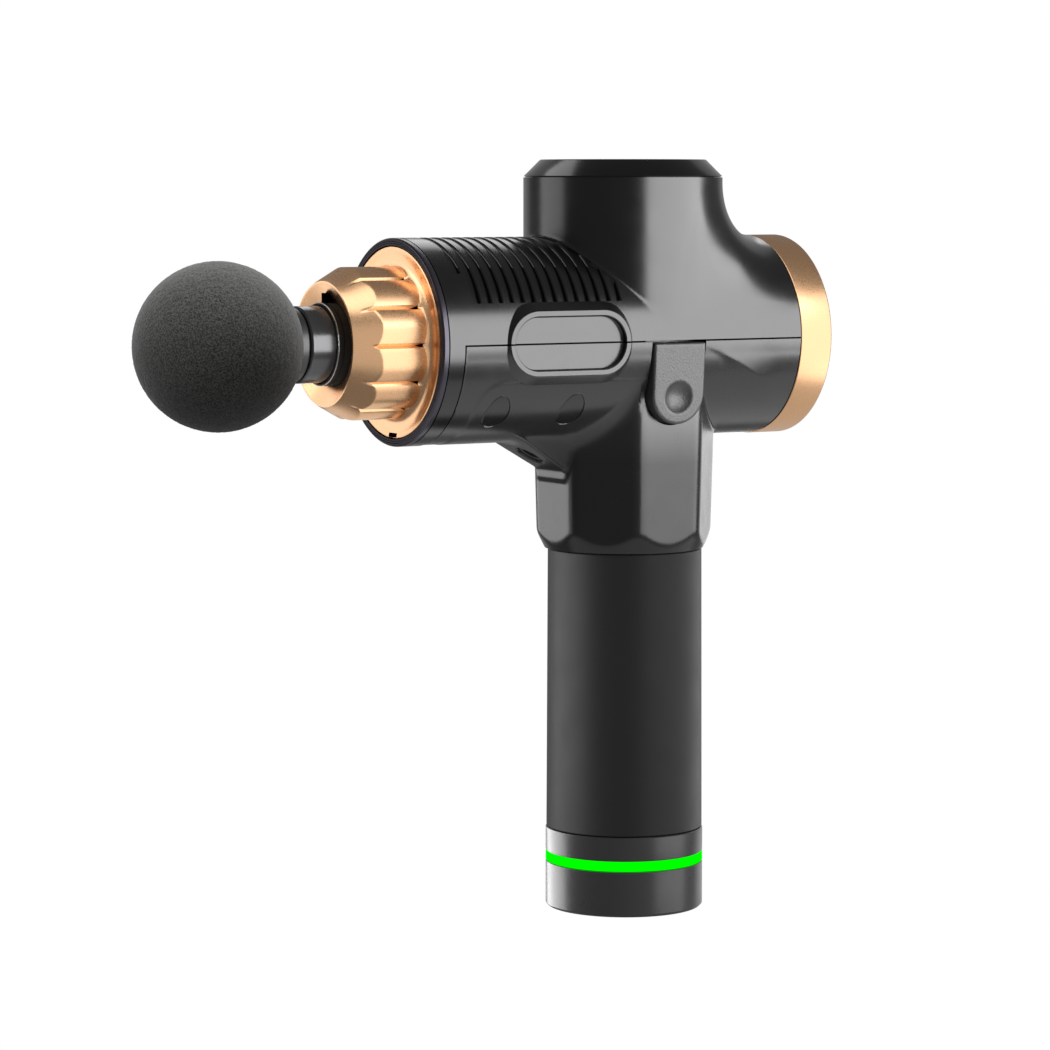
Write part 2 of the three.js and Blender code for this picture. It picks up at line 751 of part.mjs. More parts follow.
function pistonPieces() {
  return groupAt(
    0, 0, BARREL_Z,
    piece("yoke", yoke(), steel),
    piece("piston_tube", pistonTube(), glossBlack),
    piece("attachment_core", attachmentCore(), glossBlack),
    piece("ball_head", foamBall(), foam),
    piece("o_ring_front", oRing(RING_STATIONS[0]), rubber),
    piece("o_ring_rear", oRing(RING_STATIONS[1]), rubber),
  );
}

// ---- Release buttons ----

// The part of a button at +Y: a face plate, and an arm that reaches over the battery's ear and
// down behind it. The tooth at its end stops just short of the ear.
function releaseButton(side) {
  const section = [
    [BUTTON_BACK_Y, BUTTON_BOTTOM - 1],
    [BUTTON_FACE_BOTTOM_Y, BUTTON_BOTTOM - 1],
    [BUTTON_FACE_TOP_Y, BUTTON_TOP],
    [BUTTON_BACK_Y, BUTTON_TOP],
  ];
  const slab = extrudedAlongX(outlineShape(section), -20, 20);
  const plate = slab.intersect(extrudedAlongY(buttonOutline(0), 20, 40));
  const armX = [BUTTON_CENTRE_X - 4, BUTTON_CENTRE_X + 4];
  const armBack = EAR_Y[0] - 2.6;
  const armBottom = 153.6;
  const armTop = 165.4;
  const arm = joined(
    plate,
    block(armX, [armBack, BUTTON_BACK_Y + 1], [armTop - 2.2, armTop]),
    block(armX, [armBack, EAR_Y[0] - 1], [armBottom, armTop]),
    block(armX, [armBack, EAR_Y[0] - GAP], [armBottom, armBottom + 2.8]),
  );
  const dimpleR = 8;
  const dimpleDepth = 1.2;
  const dimple = solid(new THREE.SphereGeometry(dimpleR, 16, 10)).translate(
    BUTTON_CENTRE_X,
    BUTTON_FACE_BOTTOM_Y + dimpleR - dimpleDepth,
    SPRING_Z,
  );
  const made = cut(arm, dimple);
  return side > 0 ? made : made.mirror([0, 1, 0]);
}

class Helix extends THREE.Curve {
  constructor(radius, length, turns) {
    super();
    Object.assign(this, { radius, length, turns });
  }

  getPoint(t, target = new THREE.Vector3()) {
    const angle = 2 * Math.PI * this.turns * t;
    return target.set(this.radius * Math.cos(angle), this.length * t, this.radius * Math.sin(angle));
  }

  getPointAt(u, target) {
    return this.getPoint(u, target);
  }
}

// Drawn at its length with the button pressed home.
function releaseSpring(side) {
  const wireR = 0.35;
  const coilR = 2.6;
  const height = 4.3;
  const turns = 3;
  const section = new THREE.Shape();
  section.absarc(0, 0, wireR, 0, 2 * Math.PI, false);
  const coil = new THREE.ExtrudeGeometry(section, {
    steps: turns * 8,
    curveSegments: 3,
    extrudePath: new Helix(coilR, height, turns),
    bevelEnabled: false,
  });
  const made = solid(coil).translate(BUTTON_CENTRE_X, SPRING_SEAT_Y + wireR, SPRING_Z);
  return side > 0 ? made : made.mirror([0, 1, 0]);
}

// ---- Electronics in the casing ----

const CONTACT_XS = [-5, 0, 5];

function controlBoard() {
  const [bottom, top] = [170, 171.6];
  const buried = top - 0.6; // each part starts inside the board
  return joined(
    block([-22, 20], [-16.5, 16.5], [bottom, top]),
    block([-18, -8], [-12, 12], [buried, 175.5]),
    block([2, 9], [-10, -3], [buried, 173.4]),
    ...[6, 14].map((x) => rod(3.5, buried, 177, "z", 16).translate(x, 8, 0)),
  );
}

function contactBlock() {
  const pins = CONTACT_XS.map((x) => rod(1, 152.3, 154, "z", 10).translate(x, 0, 0));
  return joined(block([-8, 8], [-5, 5], [153.5, 158]), ...pins);
}

function socketBody() {
  const depth = 9;
  const mouth = { radius: 2.9, depth: 7 };
  const pin = { radius: 1, tip: 2 };
  const outline = [
    [0, depth],
    [SOCKET_R, depth],
    [SOCKET_R, 1],
    [mouth.radius, 1],
    [mouth.radius, mouth.depth],
    [pin.radius, mouth.depth],
    [pin.radius, pin.tip],
    [0, pin.tip],
  ];
  return atSocket(turned(outline, "z", 20));
}

function screw(x, y) {
  const headBottom = SCREW_HEAD_Z - 2;
  const made = joined(
    rod(SCREW_HEAD_R, headBottom, SCREW_HEAD_Z, "z", 16),
    rod(SCREW_R, SCREW_HEAD_Z - 1, SCREW_TOP, "z", 12),
  );
  const slot = block([-0.4, 0.4], [-3, 3], [headBottom - 1, headBottom + 0.6]);
  return cut(made, slot).translate(x, y, 0);
}

function plug(x, y) {
  const barrel = barrelRod(BARREL_R, -80, 0);
  return rod(PLUG_R - GAP, 150, PLUG_SEAT_Z - GAP, "z", 20).translate(x, y, 0).intersect(barrel);
}

function casingPieces() {
  const group = new THREE.Group();
  group.add(
    piece("upper_shell", upperShell(), satinBlack),
    piece("lower_shell", lowerShell(), satinBlack),
    groupAt(TOWER_X, 0, 0, piece("top_cap", topCap(), glossBlack)),
    piece("drive_frame", driveFrame(), castMetal),
    piece("control_board", controlBoard(), boardGreen),
    piece("contact_block", contactBlock(), whitePlastic),
    piece("dc_socket", socketBody(), rubber),
    piece("release_button_left", releaseButton(-1), greyPlastic),
    piece("release_button_right", releaseButton(1), greyPlastic),
    piece("release_spring_left", releaseSpring(-1), steel),
    piece("release_spring_right", releaseSpring(1), steel),
  );
  SCREWS.forEach(([x, y], i) => {
    group.add(piece(`shell_screw_${i + 1}`, screw(x, y), steel));
    group.add(piece(`screw_plug_${i + 1}`, plug(x, y), satinBlack));
  });
  return group;
}

// ---- Battery grip ----

const EAR_Y = [20.7, 22.5];
const SWITCH_X = 13;
const CELL_BOTTOM = 16.8;

function batteryHousing() {
  const bottom = LIGHT_TOP + GAP;
  const inner = BATTERY_R - 2;
  const lid = BATTERY_TOP - 2.5;
  const outline = [
    [inner, bottom],
    [BATTERY_R, bottom],
    [BATTERY_R, BATTERY_TOP],
    [0, BATTERY_TOP],
    [0, lid],
    [inner, lid],
    [inner, bottom],
  ];
  const ears = [-1, 1].map((side) => {
    const [near, far] = side > 0 ? EAR_Y : [-EAR_Y[1], -EAR_Y[0]];
    const blank = block([-6.5, 6], [near, far], [BATTERY_TOP - 1, 160]);
    return cut(blank, block([-5, 4.4], [near - 1, far + 1], [153, 157]));
  });
  return joined(turned(outline, "z", FINE), ...ears);
}

function gripSleeve() {
  const inner = BATTERY_R + GAP;
  const bottom = SLEEVE_BOTTOM + GAP;
  const outline = [
    [inner, bottom],
    [SLEEVE_BOTTOM_R, bottom],
    [SLEEVE_TOP_R, SLEEVE_TOP],
    [inner, SLEEVE_TOP],
    [inner, bottom],
  ];
  return turned(outline, "z", FINE);
}

function endCap() {
  const edge = 1.2;
  const floor = 3;
  const innerR = 22.6;
  const top = LIGHT_BOTTOM - GAP;
  const outline = [
    [0, 0],
    [END_R - edge, 0],
    [END_R, edge],
    [END_R, top],
    [innerR, top],
    [innerR, floor],
    [0, floor],
  ];
  const hole = block(around(SWITCH_X, 7.3), around(0, 4.9), [-1, floor + 1]);
  return cut(turned(outline, "z", FINE), hole);
}

function switchBody() {
  const outer = block(around(SWITCH_X, 7), around(0, 4.6), [0.4, 8.6]);
  return cut(outer, block(around(SWITCH_X, 6), around(0, 3.8), [0, 5.4]));
}

// Tilted to its off side at rest, and never below the base.
const ROCKER_PIVOT_Z = 4;
const ROCKER_TILT = 7;

function rocker() {
  const end = 5.3;
  const outline = [[-end, -2.6], [0, -1.7], [end, -2.6], [end, 0], [-end, 0]];
  return extrudedAlongY(outlineShape(outline), -3.5, 3.5)
    .rotate([0, ROCKER_TILT, 0])
    .translate(SWITCH_X, 0, ROCKER_PIVOT_Z);
}

// Two layers of three cells. Each has a contact button that stands 1 mm proud.
function cells() {
  const pitchR = (CELL_R + 0.2) * (2 / Math.sqrt(3));
  const made = [];
  for (let layer = 0; layer < 2; layer += 1) {
    const bottom = CELL_BOTTOM + layer * (CELL_LENGTH + GAP);
    for (let k = 0; k < 3; k += 1) {
      const angle = (2 * Math.PI * k) / 3;
      const can = rod(CELL_R, bottom, bottom + CELL_LENGTH - 1, "z", 20);
      const tip = rod(3.5, bottom, bottom + CELL_LENGTH, "z", 12);
      const cell = joined(can, tip).translate(pitchR * Math.cos(angle), pitchR * Math.sin(angle), 0);
      made.push(piece(`cell_${3 * layer + k + 1}`, cell, cellBlue));
    }
  }
  return made;
}

function terminals() {
  const [bottom, top] = [BATTERY_TOP + GAP, 151.4];
  const pads = CONTACT_XS.map((x) => block(around(x, 1.5), [-3, 3], [top - 0.4, top + 0.5]));
  return joined(block([-8, 8], [-5, 5], [bottom, top]), ...pads);
}

function batteryPieces() {
  const collar = ring(END_R, BATTERY_R + GAP, LIGHT_TOP + GAP, SLEEVE_BOTTOM, "z", FINE);
  const group = new THREE.Group();
  group.add(
    piece("battery_housing", batteryHousing(), satinBlack),
    piece("grip_sleeve", gripSleeve(), gripBlack),
    piece("end_collar", collar, glossBlack),
    piece("light_ring", ring(END_R, 20.8, LIGHT_BOTTOM, LIGHT_TOP, "z", FINE), lightGreen),
    piece("end_cap", endCap(), glossBlack),
    piece("light_board", ring(21.5, 3, 10.5, 12.1, "z"), boardGreen),
    piece("battery_terminals", terminals(), brass),
    piece("switch_body", switchBody(), satinBlack),
    piece("power_rocker", rocker(), glossBlack),
    ...cells(),
  );
  return group;
}

// ---- The object ----

const massageGun = new THREE.Group();
massageGun.add(
  casingPieces(),
  barrelPieces(),
  guideBushings(),
  motorPieces(),
  rotorPieces(),
  pistonPieces(),
  batteryPieces(),
);

export default massageGun;
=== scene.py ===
"""A massage gun, as it looks: moulded shells, a champagne nose and rear band, a foam ball and a
battery grip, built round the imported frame. Helpers take millimetres and make meshes in metres."""

import math

import bmesh
import bpy
import numpy as np
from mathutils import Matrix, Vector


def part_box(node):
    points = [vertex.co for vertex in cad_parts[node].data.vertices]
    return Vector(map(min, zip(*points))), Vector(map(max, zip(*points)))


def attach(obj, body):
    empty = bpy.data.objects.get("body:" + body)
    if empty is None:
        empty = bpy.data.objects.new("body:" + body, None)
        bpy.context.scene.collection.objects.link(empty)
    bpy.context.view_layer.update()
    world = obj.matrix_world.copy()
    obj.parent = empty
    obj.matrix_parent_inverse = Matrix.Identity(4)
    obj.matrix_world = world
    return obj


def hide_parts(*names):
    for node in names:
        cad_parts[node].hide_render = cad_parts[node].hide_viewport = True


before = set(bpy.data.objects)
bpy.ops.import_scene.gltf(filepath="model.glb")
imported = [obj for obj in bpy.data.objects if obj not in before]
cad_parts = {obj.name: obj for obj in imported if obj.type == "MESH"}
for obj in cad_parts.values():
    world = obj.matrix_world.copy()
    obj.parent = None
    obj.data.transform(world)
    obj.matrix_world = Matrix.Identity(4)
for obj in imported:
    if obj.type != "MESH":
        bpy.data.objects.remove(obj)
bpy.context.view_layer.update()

MM = 0.001


def box_mm(node):
    """A node's lowest and highest corners, in millimetres."""
    low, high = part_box(node)
    return np.array(low) / MM, np.array(high) / MM


# ---- Sizes, from the frame ----

bezel_low, bezel_high = box_mm("front_bezel")
upper_low, upper_high = box_mm("upper_shell")
lower_low, lower_high = box_mm("lower_shell")
cap_low, cap_high = box_mm("top_cap")
nose_low, nose_high = box_mm("nose_housing")
band_low, band_high = box_mm("rear_ring")
lens_low, lens_high = box_mm("display_lens")
sleeve_low, sleeve_high = box_mm("grip_sleeve")
collar_low, collar_high = box_mm("end_collar")
light_low, light_high = box_mm("light_ring")
end_high = box_mm("end_cap")[1]
battery_low = box_mm("battery_housing")[0]
ball_low, ball_high = box_mm("ball_head")
core_low, core_high = box_mm("attachment_core")
piston_low, piston_high = box_mm("piston_tube")
button_low, button_high = box_mm("release_button_left")
switch_low, switch_high = box_mm("switch_body")
SCREW_LOW_Z, SCREW_HIGH_Z = (corner[2] for corner in box_mm("shell_screw_1"))

BARREL_Z = (bezel_low[2] + bezel_high[2]) / 2
BARREL_R = (bezel_high[2] - bezel_low[2]) / 2
SHELL_FRONT = upper_low[0]
SHELL_REAR = upper_high[0]
STEP_X = lower_low[0]  # the lower shell starts here, behind the upper shell's front ring
SEAM_GAP = 2 * (BARREL_Z - lower_high[2])
SEAM_RELIEF = 0.25  # the lower shell's edges stand back this much, so that the seam reads as a line
TOWER_X = (cap_low[0] + cap_high[0]) / 2
TOWER_R = (cap_high[0] - cap_low[0]) / 2
TOWER_TOP = upper_high[2]
NECK_BOTTOM = lower_low[2]
BUTTON_X = (button_low[0] + button_high[0]) / 2
BUTTON_R = (button_high[0] - button_low[0]) / 2
BUTTON_TOP = button_high[2]
BUTTON_FACE_TOP = button_high[1] if button_high[1] > 0 else -button_low[1]
PISTON_R = (piston_high[2] - piston_low[2]) / 2
WALL = 2.4
BATTERY_BAY_R = 24.4

FRONT_FILLET = 1.0  # where the tower meets the barrel in front
REAR_FILLET = (16.5, 49)  # straight behind the tower, and at its sides
REAR_FILLET_SPREAD = (4, 31)  # it grows between these distances from the middle
TOWER_FILLET_X = (-14, 8)  # the front fillet changes into the rear one between these stations
NECK_FILLET = (1.5, 8)  # at the back of the neck, and in front
NECK_FILLET_X = (10, -8)  # it changes between these stations
LOWER_INSET = 0.25  # the lower shell is this much smaller than the front ring
PLUG_Y = 24.1
PLUG_R = 4.6


# ---- Meshes ----


def add_object(name, points, faces, smooth=35):
    """A mesh object from points in millimetres. Edges sharper than smooth degrees stay sharp."""
    mesh = bpy.data.meshes.new(name)
    mesh.from_pydata((np.asarray(points, float) * MM).tolist(), [], [list(map(int, f)) for f in faces])
    mesh.validate()
    made = bpy.data.objects.new(name, mesh)
    bpy.context.scene.collection.objects.link(made)
    shade(made, smooth)
    return made


def shade(made, smooth=35):
    made.data.shade_smooth()
    made.data.set_sharp_from_angle(angle=math.radians(smooth))
    return made


def face_out(made):
    """Turns every face of a closed mesh outwards."""
    work = bmesh.new()
    work.from_mesh(made.data)
    bmesh.ops.recalc_face_normals(work, faces=work.faces)
    work.to_mesh(made.data)
    work.free()
    return made


def rounded(outline, steps=5):
    """An outline with its corners rounded. A corner is (radius, station) or (radius, station, fillet)."""
    made = []
    count = len(outline)
    for i, corner in enumerate(outline):
        here = np.array(corner[:2], float)
        fillet = corner[2] if len(corner) > 2 else 0
        if not fillet:
            made.append(here)
            continue
        to_last = np.array(outline[i - 1][:2], float) - here
        to_next = np.array(outline[(i + 1) % count][:2], float) - here
        to_last /= np.linalg.norm(to_last)
        to_next /= np.linalg.norm(to_next)
        half = math.acos(np.clip(to_last @ to_next, -1, 1)) / 2
        reach = fillet / math.tan(half)
        middle = (to_last + to_next) / np.linalg.norm(to_last + to_next)
        centre = here + middle * fillet / math.sin(half)
        first, last = here + to_last * reach, here + to_next * reach
        turn = math.pi - 2 * half
        for k in range(steps + 1):
            share = k / steps
            weight_last = math.sin((1 - share) * turn) / math.sin(turn)
            weight_next = math.sin(share * turn) / math.sin(turn)
            made.append(centre + (first - centre) * weight_last + (last - centre) * weight_next)
    return made


def lathe(name, outline, axis, centre=(0, 0, 0), sides=128, steps=5, smooth=35):
    """A turned piece about the x or z axis through centre. Its outline closes on itself, or starts
    and ends on the axis."""
    profile = rounded(outline, steps)
    on_axis = [abs(radius) < 1e-6 for radius, _ in profile]
    angles = np.arange(sides) * 2 * math.pi / sides
    points, rows = [], []
    for (radius, station), single in zip(profile, on_axis):
        ring = []
        for angle in angles[:1] if single else angles:
            a, b = radius * math.cos(angle), radius * math.sin(angle)
            ring.append(len(points))
            points.append((station, a, b) if axis == "x" else (a, b, station))
        rows.append(ring)
    faces = []
    closed = not (on_axis[0] and on_axis[-1])
    for i in range(len(rows) if closed else len(rows) - 1):
        this, following = rows[i], rows[(i + 1) % len(rows)]
        if len(this) == 1 and len(following) == 1:
            continue
        for k in range(sides):
            m = (k + 1) % sides
            if len(this) == 1:
                faces.append((this[0], following[k], following[m]))
            elif len(following) == 1:
                faces.append((this[k], following[0], this[m]))
            else:
                faces.append((this[k], following[k], following[m], this[m]))
    made = add_object(name, np.array(points) + np.array(centre, float), faces, smooth)
    return shade(face_out(made), smooth)


def loft(name, loops):
    """A closed solid through loops with the same number of points."""
    count = len(loops[0])
    points = [point for loop in loops for point in loop]
    ends = [list(range(count)), list(range(len(points) - 1, len(points) - count - 1, -1))]
    return face_out(add_object(name, points, ends + ring_faces(len(loops), count)))


def ring_faces(rings, count, closed=False):
    """The faces between rings of points that follow each other."""
    faces = []
    for ring in range(rings if closed else rings - 1):
        a, b = ring * count, (ring + 1) % rings * count
        for k in range(count):
            m = (k + 1) % count
            faces.append((a + k, a + m, b + m, b + k))
    return faces


def prism(name, outline, axis, low, high):
    """An outline pushed along an axis: (x, z) points along y, (y, z) along x or (x, y) along z."""
    along = "xyz".index(axis)
    flat = np.array(outline, float)
    return loft(name, [[np.insert(point, along, end) for point in flat] for end in (low, high)])


def block(name, x, y, z):
    return prism(name, [(x[0], z[0]), (x[1], z[0]), (x[1], z[1]), (x[0], z[1])], "y", *y)


def cylinder(name, radius, low, high, axis, centre=(0, 0, 0), sides=96):
    return lathe(name, [(0, low), (radius, low), (radius, high), (0, high)], axis, centre, sides)


def combine(target, operation, *tools):
    """Joins, cuts or intersects a closed mesh with others, which are used up."""
    for tool in tools:
        modifier = target.modifiers.new("combine", "BOOLEAN")
        modifier.operation = operation
        modifier.solver = "MANIFOLD"
        modifier.object = tool
    graph = bpy.context.evaluated_depsgraph_get()
    made = bpy.data.meshes.new_from_object(target.evaluated_get(graph))
    target.modifiers.clear()
    target.data = made
    for tool in tools:
        bpy.data.objects.remove(tool)
    return target


def weighted_normals(made):
    """Shades small faces beside a cut like the large ones that they lie on."""
    modifier = made.modifiers.new("normals", "WEIGHTED_NORMAL")
    modifier.keep_sharp = True
    modifier.weight = 80
    return made


def joined(name, pieces):
    """One object that holds several separate meshes."""
    work = bmesh.new()
    for made in pieces:
        work.from_mesh(made.data)
        bpy.data.objects.remove(made)
    mesh = bpy.data.meshes.new(name)
    work.to_mesh(mesh)
    work.free()
    made = bpy.data.objects.new(name, mesh)
    bpy.context.scene.collection.objects.link(made)
    return shade(made)


def points_of(made):
    """A mesh's points, in millimetres."""
    return np.array([vertex.co for vertex in made.data.vertices]) / MM


def moved(made, points):
    """A mesh with its points moved to other places, in millimetres."""
    made.data.vertices.foreach_set("co", (points * MM).ravel())
    made.data.update()
    return made


def on_barrel(x, radius, angle, across=0):
    """A point at an angle round the barrel's axis, and a distance to the side of it."""
    cosine, sine = math.cos(angle), math.sin(angle)
    return x, radius * cosine - across * sine, BARREL_Z + radius * sine + across * cosine


# ---- Surfaces from a distance field ----


def smooth_step(value, start, end):
    """Rises smoothly from 0 at start to 1 at end."""
    share = np.clip((value - start) / (end - start), 0, 1)
    return share * share * (3 - 2 * share)


def soft_union(a, b, width):
    share = np.clip(0.5 + 0.5 * (b - a) / width, 0, 1)
    return b + (a - b) * share - width * share * (1 - share)


def soft_overlap(a, b, width):
    return -soft_union(-a, -b, width)


def rolled_union(a, b, cosine, radius):
    """Joins two solids with the fillet that a ball of that radius rolls between them. The cosine is
    that of the angle between their surfaces' normals."""
    u, v = radius - a, radius - b
    reach = np.sqrt(np.maximum(u * u + v * v - 2 * cosine * u * v, 0) / np.maximum(1 - cosine**2, 1e-3))
    between = (u > cosine * v) & (v > cosine * u)
    return np.where(between, radius - reach, np.minimum(a, b))


def net_faces(inside, index, axis):
    """The quads that cross the grid's edges along one axis."""
    a = np.moveaxis(inside, axis, 0)
    cells = np.moveaxis(index, axis, 0)
    crossing = a[:-1, 1:-1, 1:-1] != a[1:, 1:-1, 1:-1]
    corners = (cells[:, :-1, :-1], cells[:, 1:, :-1], cells[:, 1:, 1:], cells[:, :-1, 1:])
    quads = np.stack([corner[crossing] for corner in corners], axis=1)
    leaving = a[:-1, 1:-1, 1:-1][crossing]
    flip = leaving if axis == 1 else ~leaving
    quads[flip] = quads[flip][:, ::-1]
    return quads


def gradient_of(field, points, nudge):
    shifts = np.eye(3) * nudge
    return np.stack([field(*(points + s).T) - field(*(points - s).T) for s in shifts], axis=1) / (2 * nudge)


def settle(field, points, quads, passes, step):
    """Moves a net's points onto the surface, and evens them out along it."""
    edges = np.concatenate([quads[:, [i, (i + 1) % 4]] for i in range(4)])
    ends = (edges.T, edges.T[::-1])
    count = np.bincount(edges.ravel(), minlength=len(points))
    for _ in range(passes):
        for _ in range(2):
            gradient = gradient_of(field, points, 0.05 * step)
            length = np.maximum(np.linalg.norm(gradient, axis=1), 0.2)
            move = np.clip(field(*points.T) / length, -step, step)
            normal = gradient / length[:, None]
            points = points - normal * move[:, None]
        sums = [sum(np.bincount(a, points[b, k], len(points)) for a, b in ends) for k in range(3)]
        slide = np.stack(sums, axis=1) / count[:, None] - points
        slide -= normal * np.sum(slide * normal, axis=1)[:, None]
        points = points + 0.6 * slide
    return points


def surface_net(name, field, low, high, step, passes=3, smooth=35):
    """A closed mesh of the surface where a distance field is zero."""
    axes = [np.arange(a, b + step, step) for a, b in zip(low, high)]
    values = field(*np.meshgrid(*axes, indexing="ij", sparse=True))
    inside = values < 0
    count = sum(
        inside[i : i + len(axes[0]) - 1, j : j + len(axes[1]) - 1, k : k + len(axes[2]) - 1].astype(np.int8)
        for i, j, k in np.ndindex(2, 2, 2)
    )
    mixed = (count > 0) & (count < 8)
    index = np.full(mixed.shape, -1, np.int32)
    index[mixed] = np.arange(mixed.sum())
    points = (np.argwhere(mixed) + 0.5) * step + np.array(low)
    quads = np.concatenate([net_faces(inside, index, axis) for axis in range(3)])
    points = settle(field, points, quads, passes, step)
    return add_object(name, points, quads, smooth)


# ---- Casing ----

PAD_RISE = 0.18  # the raised pad under the barrel
PAD_FRONT = -72
PAD_REAR = 4
PAD_FADE = 12  # it ends over this length at its rear
PAD_TOP = 176
PAD_CORNER = 9
PAD_EDGE = 0.75  # half the width over which its edge rises
INSET_FADE = 5  # the height over which the lower shell's inset begins
OCTAGON_TOP_Z = 165
NECK_FORWARD = 0.35
OCTAGON_R = (29.5, 30.6)  # corner radius at the chamfer and at OCTAGON_TOP_Z
CHAMFER_TOP = NECK_BOTTOM + 5.6
CHAMFER_R = (26.1, 28.9)
FACET_EDGE = 7
PAST = 1.5  # the field runs past the shells' ends, which a cut then trims
GUSSET_TOP = (-44.5, 155.2)
GUSSET_CORNER = (-28.5, 145.3)
GUSSET_LEDGE = 142.4
GUSSET_HALF_WIDTH = 13  # at its top
GUSSET_LEAN = 0.33  # its sides come closer together towards the bottom
GUSSET_EDGE = 1.6
GUSSET_REAR = -20
GUSSET_TOP_Z = BARREL_Z - 15
RIB_COUNT = 15
RIB_FRONT = -77.4
RIB_REAR = -21.9
RIB_END_ANGLE = 23
FIRST_RIB_END_ANGLE = 42
RIB_FLOOR = (30.78, 1.77)  # the grooves' floor is a circle of this radius, raised by this much
BOSS_X = -41.35
BOSS = (22.35, 10.4)  # half length and half height at the rim
BOSS_RIM_Y = 33.9
BOSS_FLOOR_Y = 31.9
BOSS_RIM = 2.0
BUTTON_BOTTOM = 161


def pad_rise(x, y, z):
    """How far the lower shell stands out: its inset, and the raised pad towards the neck."""
    below = np.arctan2(BARREL_Z - z, np.abs(y) + 1e-9)
    pad_angle = math.asin((BARREL_Z - PAD_TOP) / BARREL_R)
    across = (pad_angle - below) * BARREL_R + PAD_CORNER
    along = PAD_FRONT - x + PAD_CORNER
    outside = np.hypot(np.maximum(across, 0), np.maximum(along, 0)) - PAD_CORNER
    outside = outside + np.minimum(np.maximum(across, along), 0)
    pad = PAD_RISE * smooth_step(outside, PAD_EDGE, -PAD_EDGE) * smooth_step(x, PAD_REAR, PAD_REAR - PAD_FADE)
    lower = (z < BARREL_Z) & (x > STEP_X - SEAM_GAP / 2)
    return np.where(lower, pad - LOWER_INSET * smooth_step(z, BARREL_Z, BARREL_Z - INSET_FADE), 0)


def neck_field(x, y, z):
    x = x + NECK_FORWARD
    angle = np.arctan2(y, x)
    turn = math.pi / 4
    facet = np.round(angle / turn) * turn
    radius = np.hypot(x, y)
    forward, sideways = radius * np.cos(angle - facet), radius * np.sin(angle - facet)
    slope = (OCTAGON_R[1] - OCTAGON_R[0]) / (OCTAGON_TOP_Z - CHAMFER_TOP)
    flat = (OCTAGON_R[0] + slope * (z - CHAMFER_TOP)) * math.cos(turn / 2) - FACET_EDGE
    beyond = np.maximum(np.abs(sideways) - flat * math.tan(turn / 2), 0)
    octagon = np.where(forward > flat, np.hypot(forward - flat, beyond), forward - flat) - FACET_EDGE
    flare = (CHAMFER_R[1] - CHAMFER_R[0]) / (CHAMFER_TOP - NECK_BOTTOM)
    cone = (radius - CHAMFER_R[0] - flare * (z - NECK_BOTTOM)) / math.hypot(1, flare)
    ends = np.maximum(NECK_BOTTOM - PAST - z, z - BARREL_Z)
    return np.maximum(soft_overlap(octagon, cone, 0.6), ends), np.sin(facet)


def gusset_field(x, y, z):
    run = GUSSET_CORNER[0] - GUSSET_TOP[0]
    fall = GUSSET_TOP[1] - GUSSET_CORNER[1]
    slant = (-(x - GUSSET_TOP[0]) * fall - (z - GUSSET_TOP[1]) * run) / math.hypot(run, fall)
    sides = np.abs(y) - GUSSET_HALF_WIDTH - GUSSET_LEAN * (z - GUSSET_TOP[1])
    inner = np.maximum(x - GUSSET_REAR, z - GUSSET_TOP_Z)
    wedge = np.maximum(soft_overlap(slant, sides, GUSSET_EDGE), inner)
    step_face = soft_overlap(GUSSET_CORNER[0] - x, GUSSET_LEDGE - z, 1.2)
    step_face = soft_overlap(step_face, sides, GUSSET_EDGE)
    return np.minimum(wedge, np.maximum(step_face, np.maximum(inner, z - GUSSET_CORNER[1])))


def casing_field(x, y, z):
    """The outside of both shells, without the side bosses."""
    barrel_r = np.hypot(y, z - BARREL_Z) + 1e-9
    tower_r = np.hypot(x - TOWER_X, y) + 1e-9
    barrel_ends = np.maximum(SHELL_FRONT - PAST - x, x - SHELL_REAR - PAST)
    barrel = np.maximum(barrel_r - BARREL_R - pad_rise(x, y, z), barrel_ends)
    tower = np.maximum(np.maximum(tower_r - TOWER_R, BARREL_Z - z), z - TOWER_TOP - PAST)
    behind, beside = REAR_FILLET
    start, end = REAR_FILLET_SPREAD
    rear = behind + (beside - behind) * np.clip((np.abs(y) - start) / (end - start), 0, 1) ** 2
    fillet = FRONT_FILLET + (rear - FRONT_FILLET) * smooth_step(x, *TOWER_FILLET_X)
    body = rolled_union(tower, barrel, (y / barrel_r) * (y / tower_r), fillet)
    neck, facet_y = neck_field(x, y, z)
    back, front = NECK_FILLET
    fillet = back + (front - back) * smooth_step(x, *NECK_FILLET_X)
    body = rolled_union(neck, body, facet_y * y / barrel_r, fillet)
    return soft_union(body, gusset_field(x, y, z), GUSSET_EDGE)


def stadium(centre_x, half_length, half_height, y, steps=24):
    """A loop of points round a flat oval that faces along y."""
    straight = half_length - half_height
    loop = []
    for end, start in ((1, -math.pi / 2), (-1, math.pi / 2)):
        for k in range(steps + 1):
            angle = start + math.pi * k / steps
            x = centre_x + end * straight + half_height * math.cos(angle)
            loop.append((x, y, BARREL_Z + half_height * math.sin(angle)))
    return loop


def oval_loft(name, side, margin, sections):
    """A solid with flat oval sections. Each is (how far it stands out from the boss's size, its y)."""
    length, height = (size + margin for size in BOSS)
    return loft(name, [stadium(BOSS_X, length + out, height + out, side * y) for out, y in sections])


def side_boss(side):
    rim = BOSS_RIM_Y
    sections = [(2.6, 24), (2.6, 31), (0.25, rim - 0.35), (-0.1, rim - 0.1), (-0.35, rim)]
    return oval_loft("boss", side, 0, sections)


def boss_recess(side):
    floor, rim = BOSS_FLOOR_Y, BOSS_RIM_Y
    sections = [(-0.25, floor), (0, floor + 0.25), (0, rim - 0.3), (0.3, rim), (0.5, rim + 1)]
    return oval_loft("recess", side, -BOSS_RIM, sections)


